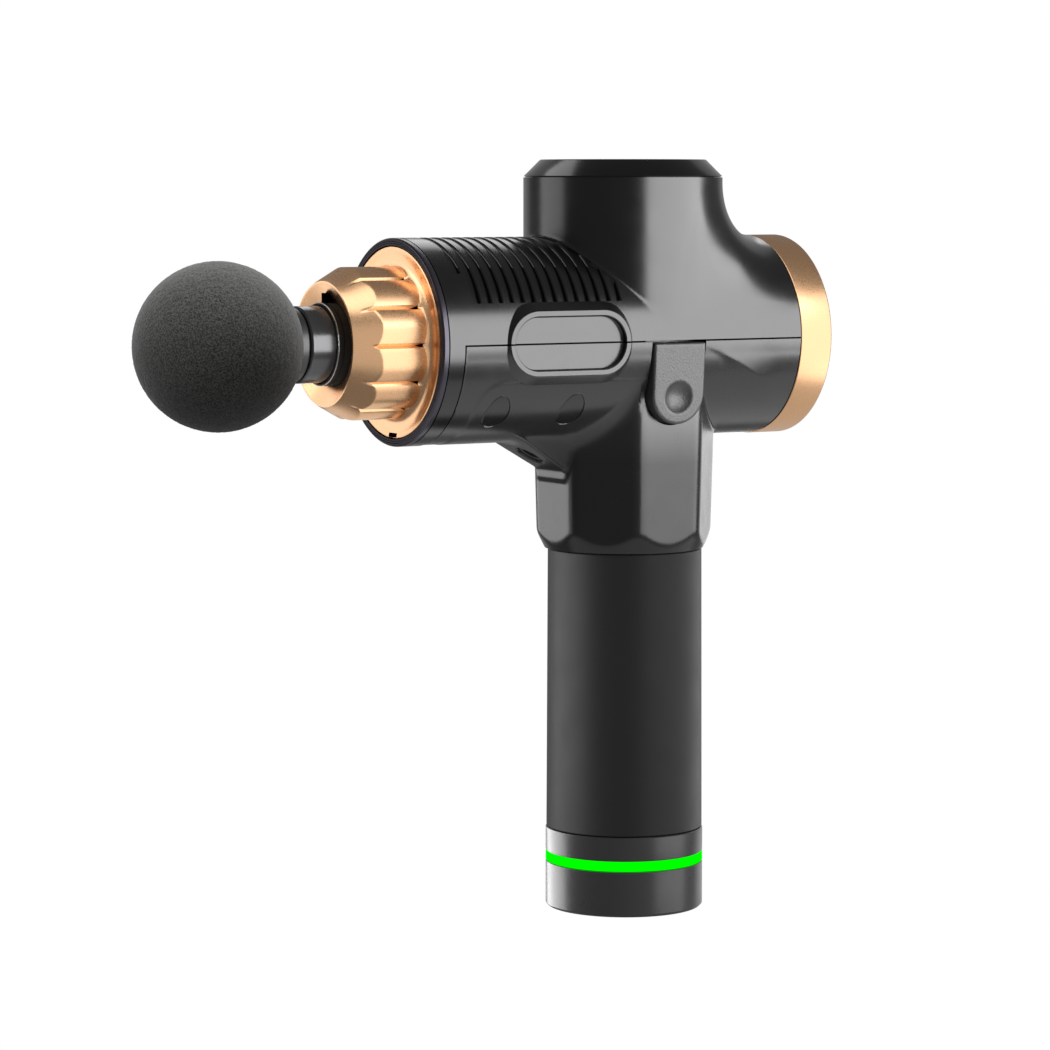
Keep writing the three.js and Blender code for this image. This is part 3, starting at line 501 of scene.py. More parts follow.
def rib_grooves():
    """The grooves over the top of the barrel, shallow on top and deeper at their lower ends."""
    steps = 72
    ribs = []
    for rib in range(RIB_COUNT):
        lowest = FIRST_RIB_END_ANGLE if rib == 0 else RIB_END_ANGLE
        x = RIB_FRONT + (RIB_REAR - RIB_FRONT) * rib / (RIB_COUNT - 1)
        loops = []
        for k in range(steps + 1):
            angle = math.radians(lowest + (180 - 2 * lowest) * k / steps)
            floor = RIB_FLOOR[0] + RIB_FLOOR[1] * math.sin(angle)
            half = [(0.9, floor), (1.05, BARREL_R - 0.36), (1.5, BARREL_R + 0.09), (1.5, BARREL_R + 2)]
            section = [(-out, radius) for out, radius in half[::-1]] + half
            loops.append([on_barrel(x + out, radius, angle) for out, radius in section])
        ribs.append(loft("rib", loops))
    tower = cylinder("tower", TOWER_R + 0.5, BARREL_Z - 5, TOWER_TOP, "z", (TOWER_X, 0, 0), 128)
    return combine(joined("grooves", ribs), "DIFFERENCE", tower)


def cavity():
    """The inside of the shells."""
    barrel = cylinder("cavity", BARREL_R - WALL, SHELL_FRONT - 5, SHELL_REAR + 5, "x", (0, 0, BARREL_Z))
    tower = cylinder("tower", TOWER_R - WALL, BARREL_Z, TOWER_TOP + 5, "z", (TOWER_X, 0, 0))
    bay = cylinder("bay", BATTERY_BAY_R, NECK_BOTTOM - 5, BARREL_Z, "z")
    return combine(barrel, "UNION", tower, bay)


def button_window(side):
    """The slot in the lower shell that a button moves in."""
    radius = BUTTON_R + 0.5
    centre_z = BUTTON_BOTTOM + BUTTON_R
    steps = 40
    outline = [(BUTTON_X + radius, BARREL_Z + 4), (BUTTON_X - radius, BARREL_Z + 4)]
    for k in range(steps + 1):
        angle = math.pi + math.pi * k / steps
        outline.append((BUTTON_X + radius * math.cos(angle), centre_z + radius * math.sin(angle)))
    return prism("window", outline, "y", *sorted((side * 23, side * 40)))


def plug_places():
    """The centre line of each screw plug, from its node."""
    places = []
    for number in range(1, 5):
        low, high = box_mm(f"screw_plug_{number}")
        places.append(((low[0] + high[0]) / 2, math.copysign(PLUG_Y, low[1])))
    return places


def socket_bore():
    """The charging socket's hole, square to the gusset's slope."""
    outline = [(0, -6), (5.4, -6), (5.4, -0.1), (4.7, 0.55), (4.7, 13), (0, 13)]
    return on_gusset(lathe("bore", outline, "z", sides=64))


def on_gusset(made):
    """Moves a piece from the z axis to the middle of the gusset's slope, and square to it."""
    angle = math.atan2(GUSSET_TOP[1] - GUSSET_CORNER[1], GUSSET_CORNER[0] - GUSSET_TOP[0])
    turn = [[math.cos(angle), 0, -math.sin(angle)], [0, 1, 0], [math.sin(angle), 0, math.cos(angle)]]
    x, z = ((top + corner) / 2 for top, corner in zip(GUSSET_TOP, GUSSET_CORNER))
    return moved(made, points_of(made) @ np.array(turn) + (x, 0, z))


def casing_outside():
    step = 0.62
    low = (SHELL_FRONT - 3, -BARREL_R - 3, NECK_BOTTOM - 3)
    high = (SHELL_REAR + 3, BARREL_R + 3, TOWER_TOP + 3)
    outside = surface_net("casing", casing_field, low, high, step)
    combine(outside, "UNION", side_boss(-1), side_boss(1))
    return combine(outside, "DIFFERENCE", boss_recess(-1), boss_recess(1), rib_grooves())


def seam_shade_strips():
    """Flat black strips behind the seam, which block the view through the gap: painted shade, so that the
    seam reads as a dark line.
    """
    outer = BARREL_R - WALL - 0.15
    strips = []
    for side in (-1, 1):
        across = sorted((side * (outer - 1.1), side * outer))
        for along in ((STEP_X + 2, BUTTON_X - BUTTON_R - 1.5), (BUTTON_X + BUTTON_R + 1.5, SHELL_REAR - 1)):
            strips.append(block("strip", along, across, (BARREL_Z - 3, BARREL_Z + 2)))
    return joined("seam_shade_strips", strips)


def trimmed(outside, name, outline):
    shell = bpy.data.objects.new(name, outside.data.copy())
    bpy.context.scene.collection.objects.link(shell)
    combine(shell, "INTERSECT", prism("region", outline, "y", -60, 60))
    return combine(shell, "DIFFERENCE", cavity())


def casing():
    outside = casing_outside()
    above, below = BARREL_Z + SEAM_GAP / 2, BARREL_Z - SEAM_GAP / 2 - SEAM_RELIEF
    ring_rear = STEP_X - SEAM_GAP
    upper_outline = [(SHELL_FRONT, NECK_BOTTOM), (ring_rear, NECK_BOTTOM), (ring_rear, above)]
    upper_outline += [(SHELL_REAR, above), (SHELL_REAR, TOWER_TOP), (SHELL_FRONT, TOWER_TOP)]
    front = STEP_X + SEAM_RELIEF
    lower_outline = [(front, NECK_BOTTOM), (SHELL_REAR, NECK_BOTTOM), (SHELL_REAR, below), (front, below)]
    upper = trimmed(outside, "casing_upper", upper_outline)
    lower = trimmed(outside, "casing_lower", lower_outline)
    bpy.data.objects.remove(outside)
    bores = [
        cylinder("plug_bore", PLUG_R, BARREL_Z - 60, BARREL_Z - 14, "z", (x, y, 0), 64)
        for x, y in plug_places()
    ]
    combine(lower, "DIFFERENCE", *bores, socket_bore(), button_window(-1), button_window(1))
    for shell in (upper, lower):
        shade(shell, 30)
        weighted_normals(shell)
    return upper, lower


# ---- Round pieces of the casing ----


def top_cap():
    spigot_r = TOWER_R - WALL - SEAM_GAP
    base = TOWER_TOP + SEAM_GAP
    top = cap_high[2]
    chamfer_r = TOWER_R - (top - base)
    outline = [(0, cap_low[2]), (spigot_r, cap_low[2]), (spigot_r, TOWER_TOP + 0.03)]
    outline += [(TOWER_R - 0.6, TOWER_TOP + 0.03), (TOWER_R - 0.6, base), (TOWER_R, base, 0.12)]
    outline += [(chamfer_r, top, 1.0), (0, top)]
    return lathe("cap", outline, "z", (TOWER_X, 0, 0), sides=160)


def front_bezel():
    low, high = bezel_low[0], bezel_high[0]
    inner = 30.6
    outline = [(inner, high), (inner, low, 0.15)]
    for line in (31.25, 31.9):
        outline += [(line - 0.12, low), (line, low + 0.16), (line + 0.12, low)]
    outline += [(BARREL_R - 0.5, low, 0.35), (BARREL_R, low + 0.5, 0.35), (BARREL_R, high, 0.2)]
    return lathe("bezel", outline, "x", (0, 0, BARREL_Z), sides=192)


def rear_band():
    low, high = band_low[0], band_high[0]
    lens_r = lens_high[2] - BARREL_Z + 0.3
    seat = lens_low[0] - 0.3
    outline = [(30, low), (BARREL_R, low, 0.3), (BARREL_R, high, 0.9), (lens_r + 0.9, high, 0.5)]
    outline += [(lens_r, high - 0.9, 0.2), (lens_r, seat), (26, seat), (26, seat - 2.7), (30, seat - 2.7)]
    return lathe("rear_band", outline, "x", (0, 0, BARREL_Z), sides=192)


def rear_lens():
    low, high = lens_low[0], lens_high[0]
    radius = lens_high[2] - BARREL_Z
    outline = [(0, low), (radius, low, 0.2), (radius, high - 0.35, 0.3), (radius - 1.2, high, 0.6), (0, high)]
    return lathe("display_window", outline, "x", (0, 0, BARREL_Z), sides=160)


def arc_bar(name, radius, width, start, end, low, high, steps=24):
    """A flat bar bent round the barrel's axis, between two angles in degrees."""
    step = math.radians(end - start) / steps
    outer = [(radius + width / 2, math.radians(start) + step * k) for k in range(steps + 1)]
    inner = [(radius - width / 2, angle) for _, angle in reversed(outer)]
    return prism(name, [on_barrel(0, r, angle)[1:] for r, angle in outer + inner], "x", low, high)


def bar(name, y, z, width, height, low, high):
    return block(name, (low, high), (y - width / 2, y + width / 2), (z - height / 2, z + height / 2))


def display_marks():
    """Generic marks on the window: a level scale, a switch symbol, plus and minus."""
    low, high = lens_high[0] - 0.02, lens_high[0] + 0.05
    span, gap, levels = 28, 6, 5
    first = 90 + (levels * span + (levels - 1) * gap) / 2
    marks = [
        arc_bar("level", 20, 2.2, first - k * (span + gap), first - k * (span + gap) - span, low, high)
        for k in range(levels)
    ]
    marks.append(arc_bar("symbol", 3.6, 0.8, 120, 420, low, high))
    marks.append(bar("symbol", 0, BARREL_Z + 3.2, 0.8, 4.2, low, high))
    marks.append(bar("minus", -11, BARREL_Z - 12, 5, 0.9, low, high))
    marks.append(bar("plus", 11, BARREL_Z - 12, 5, 0.9, low, high))
    marks.append(bar("plus", 11, BARREL_Z - 12, 0.9, 5, low, high))
    return joined("display_marks", marks)


# ---- Nose ----

LOBES = 12
LOBE_R = 24.4
LOBE_EDGE_R = 23.35
GROOVE_DEPTH = 0.75
GROOVE_HALF_ANGLE = 2.0
GROOVE_ANGLES = (0, 0.35, 1.7, 2.0, 2.5, 3.5, 5.5, 8, 10.5, 13)  # degrees from a groove's middle
GROOVE_END_X = -89.5
CONE_FRONT_R = 19.8
CONE_SLOPE = 0.534
FLANGE_R = 30.3
FLANGE_X = nose_low[0] + 24.8  # the flange's front face
BORE_R = 13.2


def nose_columns():
    """The angle, the lobe's radius and the groove's depth at each column of the nose."""
    half = 180 / LOBES
    offsets = list(GROOVE_ANGLES) + [half] + [2 * half - angle for angle in GROOVE_ANGLES[:0:-1]]
    columns = []
    for lobe in range(LOBES):
        for offset in offsets:
            from_groove = min(offset, 2 * half - offset)
            radius = LOBE_R - (LOBE_R - LOBE_EDGE_R) * (1 - from_groove / half) ** 2
            depth = GROOVE_DEPTH * max(0, 1 - from_groove / GROOVE_HALF_ANGLE)
            columns.append((math.radians(lobe * 2 * half + offset), radius, depth))
    return columns


def nose_rows(front, back):
    """Rows of (x, radius at a column) from the flange's back, over the outside and down the bore."""
    rim = FLANGE_X
    inner_r = 15.2

    def plain(*corners):
        return [(x, lambda lobe, depth, radius=radius: radius) for x, radius in corners]

    rows = plain((back, 29.9), (back - 0.3, FLANGE_R))
    rows += plain((rim + 0.5, FLANGE_R), (rim + 0.15, 30.15), (rim, 29.8))
    handles = ((rim - 0.05, 29.3), (rim + 1.0, 27.6), (rim + 1.2, 24.6), (GROOVE_END_X, 22.9))
    for k in range(1, 15):
        t = k / 14
        weights = ((1 - t) ** 3, 3 * t * (1 - t) ** 2, 3 * t * t * (1 - t), t**3)
        x, dish = (sum(w * handle[axis] for w, handle in zip(weights, handles)) for axis in (0, 1))
        rows.append((x, lambda lobe, depth, dish=dish: float(soft_overlap(lobe - depth, dish, 0.5))))
    lobe_xs = [GROOVE_END_X - 0.35, *np.arange(-91, -102, -1.5), *np.arange(-102.2, -105.6, -0.2)]
    for x in (*lobe_xs, -107, -109, -110.8):
        cone = CONE_FRONT_R + (x - front) * CONE_SLOPE
        rows.append((x, lambda lobe, depth, cone=cone: float(soft_union(lobe - depth, cone, 0.25))))
    rows += plain((front + 0.45, 19.95), (front + 0.15, 19.75), (front + 0.05, 19.35), (front + 0.2, 18.95))
    rows += plain((front + 3.1, BORE_R + 0.35), (front + 3.4, BORE_R), (front + 4.1, BORE_R))
    return rows + plain((front + 4.1, inner_r), (back, inner_r))


def nose():
    columns = nose_columns()
    rows = nose_rows(nose_low[0], nose_high[0])
    points = []
    for x, radius in rows:
        points += [on_barrel(x, radius(lobe, depth), angle) for angle, lobe, depth in columns]
    made = face_out(add_object("nose", points, ring_faces(len(rows), len(columns), closed=True)))
    combine(made, "DIFFERENCE", *nose_notches(0), groove_ends(LOBE_EDGE_R + 2.2))
    return weighted_normals(shade(made, 28))


def nose_notches(depth):
    """The key notch at the mouth of the bore and the one at the foot of the flange. With a depth
    of 1 they are only the bottoms of the notches."""
    front, behind = nose_low[0], 1.3 * depth - 1
    top = block("notch", (front + behind, front + 3.6), (-1.25, 1.25), (BARREL_Z + 12, BARREL_Z + 16))
    z = (BARREL_Z - 32 + 2 * depth, BARREL_Z - 28.6)
    foot = block("notch", (FLANGE_X + behind, FLANGE_X + 1.3), (-2.6, 2.6), z)
    return top, foot


def nose_shadows():
    """Painted shadow: flat black fillings at the bottom of the nose's notches and groove ends."""
    return joined("nose_shadows", [*nose_notches(1), groove_ends(LOBE_EDGE_R - 0.7)])


def groove_ends(top):
    """The pit at the flange end of each groove, up to a radius."""
    corners = [(GROOVE_END_X - 2.2, 0), (GROOVE_END_X + 0.4, -0.75), (GROOVE_END_X + 0.4, 0.75)]
    pits = []
    for lobe in range(LOBES):
        angle = 2 * math.pi * lobe / LOBES
        radii = (LOBE_EDGE_R - 1.9, top)
        loops = [[on_barrel(x, radius, angle, across) for x, across in corners] for radius in radii]
        pits.append(loft("pit", loops))
    return joined("groove_ends", pits)


# ---- Piston and attachment ----

GLAND_FRONT = nose_low[0] - 1.6
GLAND_REAR = nose_low[0] + 4.3
STEM_R = 8.3
CORE_R = 10
SHOULDER_X = -127  # the ball's core ends here, and the stem's collar begins
O_RING_X = (-113, -101)


def gland():
    """The wiper that stands round the piston in the mouth of the nose."""
    front = GLAND_FRONT
    inner, outer = PISTON_R + 0.2, PISTON_R + 0.95
    outline = [(inner, GLAND_REAR), (inner, front, 0.15), (outer - 0.3, front, 0.2)]
    outline += [(outer - 0.3, front + 0.7), (outer, front + 0.9, 0.1)]
    outline += [(outer, front + 2.0, 0.1), (outer - 0.35, front + 2.1)]
    outline += [(outer - 0.35, front + 2.6), (outer, front + 2.7, 0.1), (outer, GLAND_REAR)]
    return lathe("gland", outline, "x", (0, 0, BARREL_Z), sides=160)


def gland_ring():
    inner, outer = PISTON_R + 0.7, PISTON_R + 1.02
    front, rear = GLAND_FRONT + 0.2, GLAND_FRONT + 0.62
    outline = [(inner, front, 0.08), (outer, front, 0.08), (outer, rear, 0.08), (inner, rear, 0.08)]
    return lathe("gland_ring", outline, "x", (0, 0, BARREL_Z), sides=160, steps=3)


def piston_sleeve():
    front, rear = piston_low[0], piston_high[0]
    bore_r, tail_r = 8.6, 9
    outline = [(0, -92), (bore_r, -92), (bore_r, front + 0.8, 0.2), (bore_r + 0.8, front, 0.2)]
    outline += [(PISTON_R - 0.5, front, 0.35), (PISTON_R, front + 0.5, 0.35), (PISTON_R, rear, 0.3)]
    outline += [(tail_r, rear, 0.3), (tail_r, -88), (0, -88)]
    return lathe("piston", outline, "x", (0, 0, BARREL_Z), sides=160)


def attachment_stem():
    front, rear = core_low[0], core_high[0]
    collar_r, collar_x = PISTON_R - 0.3, piston_low[0] - 0.3
    outline = [(0, front), (CORE_R, front, 0.6), (CORE_R, SHOULDER_X), (collar_r, SHOULDER_X, 0.2)]
    outline += [(collar_r, collar_x - 0.6, 0.3), (collar_r - 0.6, collar_x, 0.2), (STEM_R, collar_x)]
    for station in O_RING_X:
        start, end, floor = station - 1.2, station + 1.2, STEM_R - 1.2
        outline += [(STEM_R, start, 0.1), (floor, start), (floor, end), (STEM_R, end, 0.1)]
    outline += [(STEM_R, rear - 1, 0.3), (STEM_R - 1, rear, 0.3), (0, rear)]
    return lathe("attachment_stem", outline, "x", (0, 0, BARREL_Z), sides=128)


def foam_ball():
    radius = (ball_high[2] - ball_low[2]) / 2
    centre = ball_low[0] + radius
    mouth_r = PISTON_R + 0.4
    mouth_angle = math.asin(mouth_r / radius)
    rows = 110
    outline = [(0, centre - radius)]
    for k in range(1, rows + 1):
        angle = (math.pi - mouth_angle - 0.012) * k / rows
        outline.append((radius * math.sin(angle), centre - radius * math.cos(angle)))
    mouth_x = outline[-1][1]
    floor, socket = SHOULDER_X - 0.4, core_low[0] - 0.4
    outline += [(mouth_r, mouth_x - 0.5), (mouth_r, floor)]
    outline += [(CORE_R + 0.35, floor), (CORE_R + 0.35, socket), (0, socket)]
    ball = lathe("foam_ball", outline, "x", (0, 0, BARREL_Z), sides=220, smooth=50)
    roughen(ball, np.array((centre, 0, BARREL_Z)), radius, 0.07)
    return ball


def roughen(made, centre, radius, depth):
    """Sinks and lifts the outside of a ball a little, as open foam does."""
    random = np.random.default_rng(4)
    points = points_of(made)
    away = points - centre
    distance = np.linalg.norm(away, axis=1)
    from_pole = np.hypot(away[:, 1], away[:, 2])
    outside = (distance > radius - 0.4) * np.clip(from_pole / 8, 0, 1)
    shift = random.normal(0, depth, len(points))
    shift = np.clip(shift - depth, -3 * depth, 0) * outside
    return moved(made, points + away / distance[:, None] * shift[:, None])


# ---- Release buttons, plugs and socket ----

DIMPLE_Z = BUTTON_BOTTOM + BUTTON_R - 1.5
DIMPLE_R = 7.6
DIMPLE_DEPTH = 2.1
BUTTON_BACK = 27.5
BUTTON_LEAN = 1.8  # the face stands out this much further at its top


def box_field(x, y, z, spans):
    """Distance to a box given by its x, y and z spans."""
    sides = [np.abs(value - (a + b) / 2) - (b - a) / 2 for value, (a, b) in zip((x, y, z), spans)]
    return np.maximum(np.maximum(sides[0], sides[1]), sides[2])


def button_field(x, y, z):
    """The button at +Y: its face plate and the arm behind it."""
    across = np.abs(x - BUTTON_X)
    below = np.minimum(z - BUTTON_BOTTOM - BUTTON_R, 0)
    outline = soft_overlap(np.hypot(across, below) - BUTTON_R, z - BUTTON_TOP, 0.8)
    face = BUTTON_FACE_TOP - BUTTON_LEAN * (BUTTON_TOP - z) / (BUTTON_TOP - BUTTON_BOTTOM)
    plate = np.maximum(soft_overlap(outline, y - face, 1.1), BUTTON_BACK - y)
    dimple_y = BUTTON_FACE_TOP - BUTTON_LEAN * (BUTTON_TOP - DIMPLE_Z) / (BUTTON_TOP - BUTTON_BOTTOM)
    centre_y = dimple_y + DIMPLE_R - DIMPLE_DEPTH
    dimple = np.sqrt((x - BUTTON_X) ** 2 + (y - centre_y) ** 2 + (z - DIMPLE_Z) ** 2) - DIMPLE_R
    plate = soft_overlap(plate, -dimple, 0.35)
    width = (BUTTON_X - 4, BUTTON_X + 4)
    arm_top, arm_bottom = 165.4, 153.8
    spans = [((18.2, BUTTON_BACK + 1), (163.2, arm_top)), ((18.2, 19.7), (arm_bottom, arm_top))]
    spans.append(((18.2, 20.4), (arm_bottom, 156.4)))
    arm = np.minimum.reduce([box_field(x, y, z, (width, *span)) for span in spans])
    return soft_union(plate, arm, 0.5)


def mirrored(made, side):
    """A mesh that was made on the +Y side, turned over to the other side where side is -1."""
    if side < 0:
        moved(made, points_of(made) * (1, -1, 1)).data.flip_normals()
        made.data.update()
    return made


def release_button(name, side):
    low = (BUTTON_X - BUTTON_R - 1, 17, 152)
    high = (BUTTON_X + BUTTON_R + 1, BUTTON_FACE_TOP + 1, BUTTON_TOP + 1)
    made = surface_net(name, button_field, low, high, 0.34, smooth=50)
    return mirrored(made, side)


PLUG_RECESS = 0.06
SCREW_HEAD_R = 2.6


def screw_plug(number, x, y):
    """A plug that follows the barrel. Beside the screw's head it reaches higher than its seat."""
    side = math.copysign(1, y)

    def field(px, py, pz):
        from_axis = np.hypot(px - x, py - abs(y))
        surface = np.hypot(py, pz - BARREL_Z) - (BARREL_R - PLUG_RECESS)
        over_head = np.minimum(pz - SCREW_LOW_Z + 0.2, SCREW_HEAD_R + 0.1 - from_axis)
        return np.maximum(soft_overlap(from_axis - (PLUG_R - 0.12), surface, 0.25), over_head)

    low = (x - PLUG_R - 1, abs(y) - PLUG_R - 1, BARREL_Z - 32)
    high = (x + PLUG_R + 1, abs(y) + PLUG_R + 1, BARREL_Z - 14)
    return mirrored(surface_net(f"plug_{number}", field, low, high, 0.3, smooth=50), side)


def shell_screw(number, x, y):
    """A long self-tapping screw with a cross recess in its head, which points down."""
    low, high = SCREW_LOW_Z, SCREW_HIGH_Z
    outline = [(0, low), (SCREW_HEAD_R - 0.3, low, 0.1), (SCREW_HEAD_R, low + 0.5, 0.3)]
    outline += [(SCREW_HEAD_R, low + 2), (1.5, low + 2, 0.2)]
    turn = 1.1
    station = low + 6
    while station < high - 4:
        outline += [(1.15, station), (1.5, station + turn / 2)]
        station += turn
    outline += [(1.15, high - 3), (0.2, high), (0, high)]
    made = lathe(f"screw_{number}", outline, "z", (x, y, 0), sides=32, steps=3)
    arms = ((1.4, 0.35), (0.35, 1.4))
    recess = [block("recess", (x - a, x + a), (y - b, y + b), (low - 1, low + 1)) for a, b in arms]
    return shade(combine(made, "DIFFERENCE", *recess))


def charging_socket():
    outline = [(0, 9), (4.4, 9), (4.4, 0.7, 0.25), (2.9, 0.7, 0.3), (2.9, 7), (1, 7), (1, 2, 0.5), (0, 2)]
    return on_gusset(lathe("charging_socket", outline, "z", sides=64))


# ---- Battery grip ----

RING_RISE = 0.45  # the rings below the sleeve stand out from it, with a bright edge


def grip_sleeve():
    inner, top_r = 24.3, 25.3
    low, high = sleeve_low[2], sleeve_high[2]
    outline = [(inner, low), (sleeve_high[0], low, 0.35), (top_r, high, 0.5), (inner, high)]
    return lathe("grip", outline, "z", sides=192)


def ring_piece(name, node_low, node_high, inner, low_edge, high_edge):
    radius = node_high[0] + RING_RISE
    low, high = node_low[2], node_high[2]
    outline = [(inner, low), (radius, low, low_edge), (radius, high, high_edge), (inner, high)]
    return lathe(name, outline, "z", sides=192)


def end_cap():
    radius, top = end_high[0] + RING_RISE, end_high[2]
    wall_r, floor = 22.6, 3
    outline = [(0, 0.5), (radius - 8, 0.5, 0.3), (radius - 8.5, 0, 0.3), (radius - 0.8, 0, 0.5)]
    outline += [(radius, 0.8, 0.5), (radius, top, 0.25), (wall_r, top), (wall_r, floor), (0, floor)]
    made = lathe("end_cup", outline, "z", sides=192)
    switch_x = (switch_low[0] + switch_high[0]) / 2
    hole = block("hole", (switch_x - 7.3, switch_x + 7.3), (-4.9, 4.9), (-1, floor + 1))
    return shade(combine(made, "DIFFERENCE", hole))


def battery_tube():
    radius, wall, floor = 24, 2, 2.5
    low, top = battery_low[2], 150
    outline = [(radius - wall, low), (radius, low, 0.2), (radius, top, 0.8), (0, top), (0, top - floor)]
    made = lathe("battery_tube", [*outline, (radius - wall, top - floor)], "z", sides=160)
    for side in (-1, 1):
        span = sorted((side * 20.7, side * 22.5))
        outline = [(-6.5, top - 1), (6, top - 1), (6, 159), (5, 160), (-5.5, 160), (-6.5, 159)]
        ear = prism("ear", outline, "y", *span)
        combine(ear, "DIFFERENCE", block("window", (-5, 4.4), (span[0] - 1, span[1] + 1), (153, 157)))
        combine(made, "UNION", ear)
    return shade(made)


# ---- Materials ----


class Finish:
    """A Principled material with noise in it. Grain varies the roughness: (size, detail, low, high). A
    layer of relief is (size, detail, height, strength). Sizes are in millimetres, and a last item
    stretches the noise."""

    def __init__(self, name, colour, roughness, metallic=0.0, specular=0.5, grain=None, relief=(), **inputs):
        self.material = bpy.data.materials.new(name)
        self.material.use_nodes = True
        self.tree = self.material.node_tree
        self.shader = self.tree.nodes["Principled BSDF"]
        self.bumps = []
        self.place = self.tree.nodes.new("ShaderNodeTexCoord").outputs["Object"]
        inputs.update(base_color=(*colour, 1), roughness=roughness, metallic=metallic)
        self.shader.inputs["Specular IOR Level"].default_value = specular
        for key, value in inputs.items():
            self.shader.inputs[key.replace("_", " ").title()].default_value = value
        if grain:
            size, detail, low, high, *stretch = grain
            self.link(self.spread(self.noise(size, detail, *stretch), low, high), "Roughness")
        for size, detail, height, strength, *stretch in relief:
            self.bump(self.noise(size, detail, *stretch), height, strength)

    def link(self, source, name):
        self.tree.links.new(source, self.shader.inputs[name])
        return self

    def noise(self, size_mm, detail=2.0, stretch=(1, 1, 1)):
        """Noise whose grains are about size_mm across, from 0 to 1."""
        mapping = self.tree.nodes.new("ShaderNodeMapping")
        mapping.inputs["Scale"].default_value = [axis / (size_mm * MM) for axis in stretch]
        texture = self.tree.nodes.new("ShaderNodeTexNoise")
        texture.inputs["Scale"].default_value = 1.0
        texture.inputs["Detail"].default_value = detail
        self.tree.links.new(self.place, mapping.inputs["Vector"])
        self.tree.links.new(mapping.outputs["Vector"], texture.inputs["Vector"])
        return texture.outputs["Fac"]

    def spread(self, source, low, high, from_low=0.3, from_high=0.7):
        remap = self.tree.nodes.new("ShaderNodeMapRange")
        remap.inputs["From Min"].default_value = from_low
        remap.inputs["From Max"].default_value = from_high
        remap.inputs["To Min"].default_value = low
        remap.inputs["To Max"].default_value = high
        self.tree.links.new(source, remap.inputs["Value"])
        return remap.outputs["Result"]

    def shade_by_height(self, low_mm, high_mm, low, high):
        """The gloss changes with the height, from low at low_mm to high at high_mm. This paints shade: lower
        parts reflect the lights more weakly.
        """
        height = self.tree.nodes.new("ShaderNodeSeparateXYZ")
        self.tree.links.new(self.place, height.inputs["Vector"])
        level = self.spread(height.outputs["Z"], low, high, low_mm * MM, high_mm * MM)
        return self.link(level, "Specular IOR Level")

    def vary_colour(self, source, dark, light, from_low=0.35, from_high=0.65):
        ramp = self.tree.nodes.new("ShaderNodeValToRGB")
        for end, place, colour in zip(ramp.color_ramp.elements, (from_low, from_high), (dark, light)):
            end.position = place
            end.color = (*colour, 1)
        self.tree.links.new(source, ramp.inputs["Fac"])
        return self.link(ramp.outputs["Color"], "Base Color")

    def bump(self, source, height_mm, strength=1.0):
        """Adds a layer of relief that is height_mm deep."""
        node = self.tree.nodes.new("ShaderNodeBump")
        node.inputs["Distance"].default_value = height_mm * MM
        node.inputs["Strength"].default_value = strength
        self.tree.links.new(source, node.inputs["Height"])
        if self.bumps:
            self.tree.links.new(self.bumps[-1].outputs["Normal"], node.inputs["Normal"])
        self.link(node.outputs["Normal"], "Normal")
        self.bumps.append(node)


MOULDED = [(0.16, 2, 0.003, 0.4), (6, 2, 0.012, 0.15)]  # a fine spark-eroded grain and faint handling marks


def moulded_black():
    """Satin moulded plastic."""
    return Finish("moulded_black", (0.0025, 0.0025, 0.0026), 0.22, grain=(9, 4, 0.2, 0.25), relief=MOULDED)


def neck_shaded_satin():
    """The same plastic with painted shade: its gloss fades below 164 mm, so the neck reflects the lights more
    weakly, as if they fell off there.
    """
    made = Finish("neck_shaded_satin", (0.008, 0.008, 0.0081), 0.24, grain=(9, 4, 0.22, 0.28), relief=MOULDED)
    return made.shade_by_height(148, 164, 0.22, 0.5)


# Flat black with no gloss: painted shade for the strips behind the seam and the fillings in the nose's
# notches.
def painted_shade_black():
    return Finish("painted_shade_black", (0.001, 0.001, 0.001), 1.0, specular=0.0, relief=[(0.4, 3, 0.05, 0.8)])


def gloss_black():
    relief = [(5, 2, 0.01, 0.15)]
    return Finish("gloss_black", (0.004, 0.004, 0.0045), 0.18, grain=(14, 4, 0.15, 0.21), relief=relief)


def ring_black():
    """Smooth dark grey plastic, a little softer in its gloss than the cap on top."""
    relief = [(5, 2, 0.008, 0.15)]
    return Finish("ring_black", (0.075, 0.075, 0.076), 0.3, grain=(8, 4, 0.27, 0.33), relief=relief)


def bezel_black():
    """Dark metal with a violet-grey sheen and turned lines."""
    grain = (3, 3, 0.25, 0.36, (1, 0.2, 0.2))
    relief = [(0.25, 2, 0.004, 0.4, (1, 0.1, 0.1))]
    return Finish("bezel_black", (0.035, 0.032, 0.042), 0.3, 0.7, grain=grain, relief=relief)


def grip_rubber():
    look = {"specular": 0.4, "sheen_weight": 0.12, "sheen_roughness": 0.35, "grain": (12, 4, 0.43, 0.5)}
    relief = [(0.22, 3, 0.012, 0.6), (1.6, 2, 0.006, 0.3)]
    return Finish("grip_rubber", (0.026, 0.026, 0.0262), 0.46, relief=relief, **look)


def champagne_metal():
    """Bead-blasted and anodised aluminium, with a fine sparkle."""
    relief = [(0.3, 2, 0.004, 0.4)]
    return Finish("champagne_metal", (0.9, 0.54, 0.3), 0.3, 1.0, grain=(0.5, 3, 0.26, 0.34), relief=relief)


def polished_black():
    grain = (1.2, 3, 0.16, 0.24, (1, 0.1, 0.1))
    relief = [(0.2, 2, 0.002, 0.4, (1, 0.05, 0.05))]
    return Finish("polished_black", (0.055, 0.055, 0.057), 0.2, 0.6, grain=grain, relief=relief)


def neck_black():
    relief = [(0.2, 2, 0.004, 0.5)]
    return Finish("neck_black", (0.012, 0.012, 0.013), 0.4, grain=(4, 3, 0.34, 0.46), relief=relief)


def button_black():
    """The same plastic as the shells, with a coarser grain that catches more light."""
    relief = [(0.6, 3, 0.12, 0.9)]
    return Finish("button_black", (0.02, 0.02, 0.021), 0.4, grain=(0.5, 3, 0.34, 0.48), relief=relief)


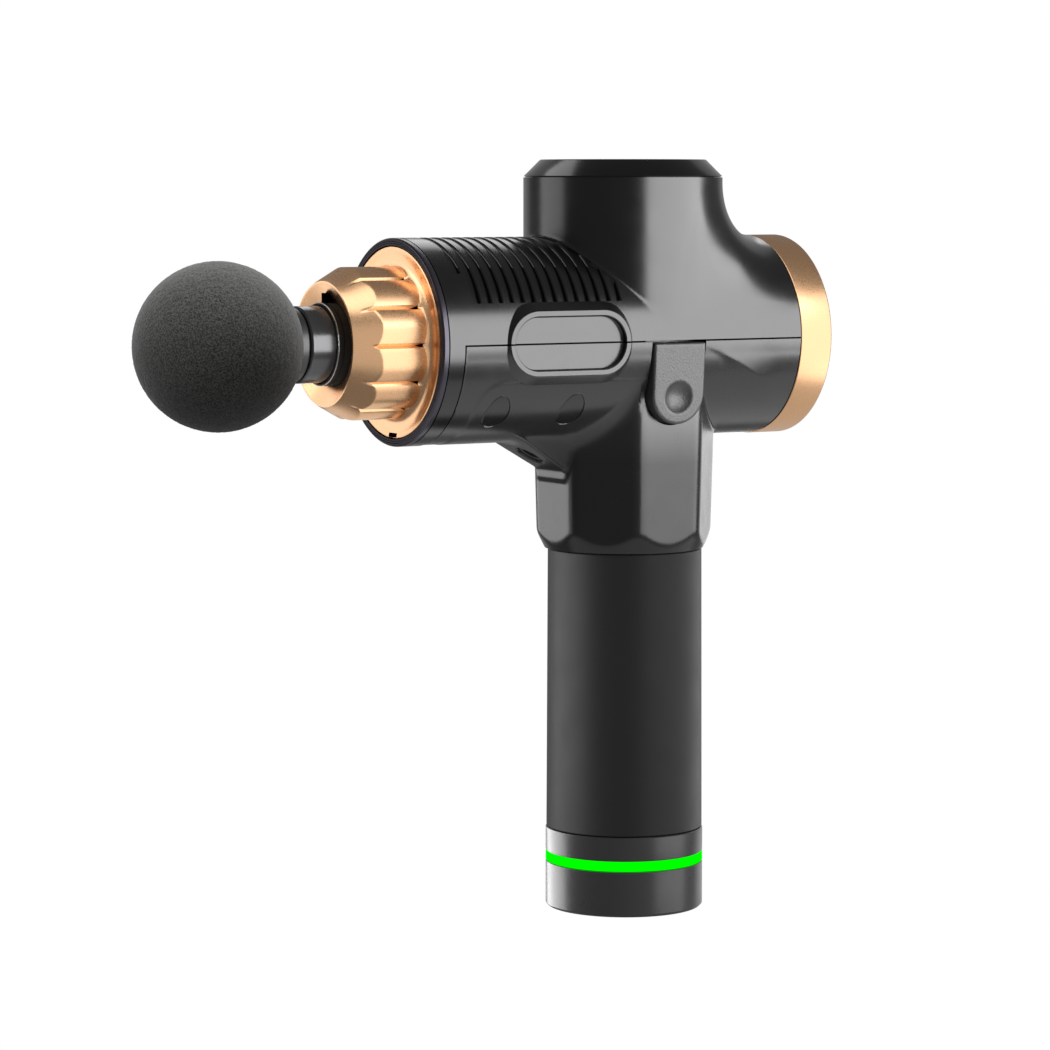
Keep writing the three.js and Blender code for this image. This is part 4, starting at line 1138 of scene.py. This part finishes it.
def foam_black():
    """Dense foam: fine open cells, lighter where they break the skin."""
    look = {"specular": 0.25, "sheen_weight": 0.2, "sheen_roughness": 0.5}
    relief = [(0.7, 3, 0.16, 0.8), (0.3, 2, 0.06, 0.6)]
    made = Finish("foam_black", (0.035, 0.035, 0.033), 0.95, relief=relief, **look)
    return made.vary_colour(made.noise(0.5, 4), (0.006, 0.006, 0.0055), (0.043, 0.043, 0.04), 0.4, 0.6)


def lamp_green():
    look = {"specular": 0.0, "emission_color": (0.0, 1.0, 0.0, 1), "emission_strength": 1.1}
    return Finish("lamp_green", (0.0, 0.01, 0.0), 0.5, grain=(2, 2, 0.45, 0.55), **look)


def printed_white():
    look = {"emission_color": (0.8, 0.9, 1.0, 1), "emission_strength": 0.35}
    return Finish("printed_white", (0.72, 0.74, 0.76), 0.4, grain=(1, 2, 0.35, 0.45), **look)


def window_glass():
    look = {"coat_weight": 0.6, "coat_roughness": 0.03}
    return Finish("window_glass", (0.003, 0.003, 0.004), 0.05, grain=(10, 3, 0.04, 0.08), **look)


def rubber():
    relief = [(0.25, 2, 0.008, 0.5)]
    return Finish("rubber", (0.012, 0.012, 0.012), 0.7, grain=(2, 3, 0.62, 0.78), relief=relief)


def turned_steel():
    grain = (0.8, 3, 0.2, 0.36, (1, 0.15, 0.15))
    relief = [(0.2, 2, 0.003, 0.4, (1, 0.1, 0.1))]
    return Finish("turned_steel", (0.56, 0.565, 0.58), 0.28, 1.0, grain=grain, relief=relief)


def dark_steel():
    relief = [(0.4, 2, 0.005, 0.4)]
    return Finish("dark_steel", (0.10, 0.105, 0.115), 0.4, 1.0, grain=(1.5, 3, 0.34, 0.48), relief=relief)


def cast_metal():
    relief = [(0.7, 4, 0.04, 0.5)]
    return Finish("cast_metal", (0.34, 0.35, 0.37), 0.5, 1.0, grain=(1.2, 4, 0.42, 0.6), relief=relief)


def bronze():
    made = Finish("bronze", (0.52, 0.33, 0.13), 0.38, 1.0, relief=[(0.3, 2, 0.006, 0.4)])
    return made.vary_colour(made.noise(3, 3), (0.44, 0.27, 0.10), (0.58, 0.38, 0.16))


def windings():
    """Enamelled copper wire laid in turns."""
    made = Finish("windings", (0.48, 0.17, 0.06), 0.35, 1.0, relief=[(0.45, 1, 0.12, 0.8, (0.1, 0.1, 1))])
    return made.vary_colour(made.noise(0.5, 2, (0.2, 0.2, 1)), (0.30, 0.09, 0.03), (0.58, 0.24, 0.09))


def board_green():
    made = Finish("board_green", (0.01, 0.09, 0.03), 0.4, relief=[(1.4, 1, 0.03, 0.5)], coat_weight=0.4)
    return made.vary_colour(made.noise(1.4, 1), (0.006, 0.06, 0.02), (0.02, 0.14, 0.05), 0.46, 0.54)


def cell_wrap():
    relief = [(4, 3, 0.05, 0.3)]
    return Finish("cell_wrap", (0.03, 0.10, 0.32), 0.35, grain=(5, 3, 0.28, 0.42), relief=relief)


def contact_plastic():
    relief = [(0.3, 2, 0.006, 0.4)]
    return Finish("contact_plastic", (0.76, 0.74, 0.68), 0.45, grain=(2, 3, 0.4, 0.52), relief=relief)


def white_paper():
    return Finish("white_paper", (0, 0, 0), 0.9, emission_color=(1, 1, 1, 1), emission_strength=1.0)


# ---- Putting pieces on the frame ----


def put(made, body, slot, finish, *replaced):
    """Gives a piece its material and its body, and hides the CAD nodes that it stands for. The slot is not
    used.
    """
    made.data.materials.clear()
    made.data.materials.append(finish.material)
    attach(made, body)
    if replaced:
        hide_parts(*replaced)
    return made


def dress(finish, *nodes, edge=0.12):
    """A CAD node that stays: softer edges, smooth round faces and a material of its own."""
    for node in nodes:
        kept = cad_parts[node]
        kept.data.materials.clear()
        kept.data.materials.append(finish.material)
        shade(kept, 32)
        if edge:
            bevel = kept.modifiers.new("edges", "BEVEL")
            bevel.width = edge * MM
            bevel.segments = 2
            bevel.limit_method = "ANGLE"
            bevel.angle_limit = math.radians(40)
            bevel.harden_normals = True


def numbered(name, count):
    return [f"{name}_{number}" for number in range(1, count + 1)]


def build_casing(black, gloss, gold, blackened):
    upper, lower = casing()
    put(upper, "housing", "shell_black", black, "upper_shell")
    put(lower, "housing", "shell_black", neck_shaded_satin(), "lower_shell")
    # painted shade for the seam and the nose's notches
    painted_shade_fill = painted_shade_black()
    put(seam_shade_strips(), "housing", "seal_rubber", painted_shade_fill)
    put(top_cap(), "housing", "gloss_black", gloss, "top_cap")
    put(front_bezel(), "housing", "gloss_black", bezel_black(), "front_bezel")
    put(nose(), "housing", "champagne_metal", gold, "nose_housing")
    put(nose_shadows(), "housing", "seal_rubber", painted_shade_fill)
    put(rear_band(), "housing", "champagne_metal", gold, "rear_ring")
    put(rear_lens(), "housing", "display_glass", window_glass(), "display_lens")
    put(display_marks(), "housing", "display_glass", printed_white())
    for number, (x, y) in enumerate(plug_places(), 1):
        put(screw_plug(number, x, y), "housing", "shell_black", black, f"screw_plug_{number}")
        put(shell_screw(number, x, y), "housing", "steel", blackened, f"shell_screw_{number}")
    grained = button_black()
    for name, side in (("left", -1), ("right", 1)):
        button = release_button(f"button_{name}", side)
        put(button, f"release_{name}", "button_grey", grained, f"release_button_{name}")


def build_attachment(seal, steel):
    put(gland(), "housing", "seal_rubber", seal, "shaft_seal")
    put(gland_ring(), "housing", "steel", steel)
    put(piston_sleeve(), "piston", "black_metal", polished_black(), "piston_tube")
    put(attachment_stem(), "attachment", "black_metal", neck_black(), "attachment_core")
    ball = put(foam_ball(), "attachment", "foam", foam_black(), "ball_head")


def build_grip(black, seal):
    put(grip_sleeve(), "battery", "grip_black", grip_rubber(), "grip_sleeve")
    collar = ring_piece("collar", collar_low, collar_high, 24.3, 0.25, 0.5)
    plastic = ring_black()
    put(collar, "battery", "gloss_black", plastic, "end_collar")
    lamp = ring_piece("lamp", light_low, light_high, 20.8, 0.2, 0.2)
    put(lamp, "battery", "light", lamp_green(), "light_ring")
    put(end_cap(), "battery", "gloss_black", plastic, "end_cap")
    put(battery_tube(), "battery", "shell_black", black, "battery_housing")
    put(charging_socket(), "housing", "seal_rubber", seal, "dc_socket")


def dress_inner_nodes(black, gloss, blackened, seal, steel):
    dress(cast_metal(), "drive_frame", "motor_mount")
    dress(board_green(), "control_board", "display_board", "light_board")
    dress(contact_plastic(), "contact_block")
    dress(bronze(), "front_bushing", "guide_bushing", "rear_bushing", "pin_roller", "battery_terminals")
    dress(windings(), "stator")
    dress(blackened, "rotor_bell", "yoke")
    dress(steel, "bearing_upper", "bearing_lower", "motor_shaft", "magnet_ring", "crank_disc", "crank_pin")
    dress(steel, "release_spring_left", "release_spring_right", edge=0)
    dress(seal, "o_ring_front", "o_ring_rear", edge=0)
    dress(cell_wrap(), *numbered("cell", 6), edge=0.4)
    dress(black, "switch_body", edge=0.25)
    dress(gloss, "power_rocker", edge=0.3)


# ---- Stage ----

CAMERA_AT = (-0.6697, -1.0509, 0.2392)
CAMERA_AZIMUTH = -31
CAMERA_PITCH = 5.19
CAMERA_LENS = 130.3
STAGE_CENTRE = (-0.03, 0, 0.17)


def camera():
    data = bpy.data.cameras.new("camera")
    data.lens = CAMERA_LENS
    data.sensor_width = 36
    data.clip_start, data.clip_end = 0.01, 50
    made = bpy.data.objects.new("camera", data)
    made.location = CAMERA_AT
    made.rotation_euler = (math.radians(90 - CAMERA_PITCH), 0, math.radians(CAMERA_AZIMUTH))
    bpy.context.scene.collection.objects.link(made)
    bpy.context.scene.camera = made


def softbox(name, pieces, azimuths, elevations, radiance, distance=1.2):
    """A rectangular light on some of the pieces, over a range of azimuths and elevations in degrees.
    Azimuth 0 is on the -Y side and 90 on the +X side."""
    turn, lift = (math.radians(sum(span) / 2) for span in (azimuths, elevations))
    half_width, half_height = (math.radians(span[1] - span[0]) / 2 for span in (azimuths, elevations))
    data = bpy.data.lights.new(name, "AREA")
    data.shape = "RECTANGLE"
    data.size = 2 * distance * math.tan(half_width)
    data.size_y = 2 * distance * math.tan(half_height)
    data.energy = radiance * math.pi * data.size * data.size_y
    made = bpy.data.objects.new(name, data)
    away = (math.sin(turn) * math.cos(lift), -math.cos(turn) * math.cos(lift), math.sin(lift))
    made.location = [centre + distance * part for centre, part in zip(STAGE_CENTRE, away)]
    made.rotation_euler = (math.pi / 2 - lift, 0, turn)
    made.visible_camera = False
    made.light_linking.receiver_collection = pieces
    bpy.context.scene.collection.objects.link(made)


def lit_together():
    """The groups of pieces that softboxes light. The casing's group holds all that no other one has."""
    rest = {made.name: made for made in bpy.context.scene.objects if made.type == "MESH"}
    shares = {
        "gold": ("nose", "rear_band"),
        "grip": ("grip",),
        "rings": ("collar", "end_cup"),
        "foam": ("foam_ball",),
        "tops": ("cap", "battery_tube", "display_window", "display_marks"),
    }
    members = {group: [rest.pop(name) for name in names] for group, names in shares.items()}
    members["nose"] = members["gold"][:1]
    members["lower"] = [rest["casing_lower"]]
    members["casing"] = list(rest.values())
    groups = {}
    for name, pieces in members.items():
        groups[name] = bpy.data.collections.new(name)
        for made in pieces:
            groups[name].objects.link(made)
    return groups


KEY = ((-4, 69), (-17, 29))
BEHIND = ((110, 190), (-25, 45))


def lights():
    """Each finish has its own softboxes, since each was lit to show its own gloss."""
    world = bpy.data.worlds.new("room")
    world.use_nodes = True
    world.node_tree.nodes["Background"].inputs["Color"].default_value = (0.2, 0.2, 0.2, 1)
    bpy.context.scene.world = world
    group = lit_together()
    casing, tops, lower, gold = group["casing"], group["tops"], group["lower"], group["gold"]
    grip, rings, foam = group["grip"], group["rings"], group["foam"]
    softbox("casing_key", casing, *KEY, 8.4, distance=0.75)
    softbox("casing_left", casing, (-142, -104), (-20, 40), 2.1)
    softbox("casing_behind", casing, *BEHIND, 0.25)
    softbox("casing_above", casing, (132, 168), (22, 48), 1.9)
    softbox("tops_key", tops, *KEY, 1.2, distance=0.75)
    softbox("tops_behind", tops, *BEHIND, 0.25)
    softbox("tops_chamfer", tops, (-164, -134), (40, 60), 2.4)
    softbox("casing_below", casing, (-60, 60), (-125, -40), 0.9)
    softbox("neck_left", lower, (-168, -126), (-15, 5), 4.2)
    softbox("neck_right", lower, (100, 145), (-15, 5), 1.5)
    softbox("gold_key", gold, (-4, 77), (-40, 36), 1.5)
    softbox("gold_front", gold, (-62, -8), (-35, 30), 0.42)
    softbox("gold_left", gold, (-175, -105), (-30, 45), 1.1)
    softbox("gold_above", gold, (-110, 20), (48, 82), 1.7)
    softbox("nose_below", group["nose"], (60, 160), (-78, -10), 0.6)
    softbox("gold_below", gold, (60, 160), (-78, -10), 0.35)
    softbox("grip_key", grip, (-4, 70), (-30, 30), 0.8)
    softbox("grip_left", grip, (-160, -92), (-30, 30), 2.0)
    softbox("grip_right", grip, (72, 120), (-30, 30), 1.1)
    softbox("ring_key", rings, (16, 66), (-24, 24), 2.0)
    softbox("ring_left", rings, (-185, -128), (-30, 30), 5.2)
    softbox("ring_right", rings, (98, 150), (-30, 30), 0.8)
    softbox("foam_above", foam, (-60, 60), (68, 112), 6.4)
    softbox("foam_front", foam, (-110, 60), (-10, 50), 0.8)


BACKDROP_R = 9000


def stage():
    """A white backdrop that only the camera sees."""
    arc = [math.pi * k / 32 for k in range(1, 32)]
    outline = [(BACKDROP_R * math.sin(angle), -BACKDROP_R * math.cos(angle)) for angle in arc]
    backdrop = lathe("backdrop", [(0, -BACKDROP_R), *outline, (0, BACKDROP_R)], "z", sides=48)
    backdrop.data.materials.append(white_paper().material)
    backdrop.visible_diffuse = False
    backdrop.visible_glossy = False
    backdrop.visible_shadow = False


def build():
    black, gloss, gold = moulded_black(), gloss_black(), champagne_metal()
    seal, steel, blackened = rubber(), turned_steel(), dark_steel()
    build_casing(black, gloss, gold, blackened)
    build_attachment(seal, steel)
    build_grip(black, seal)
    dress_inner_nodes(black, gloss, blackened, seal, steel)


camera()
build()
stage()
lights()
bpy.context.scene.view_settings.view_transform = "Standard"
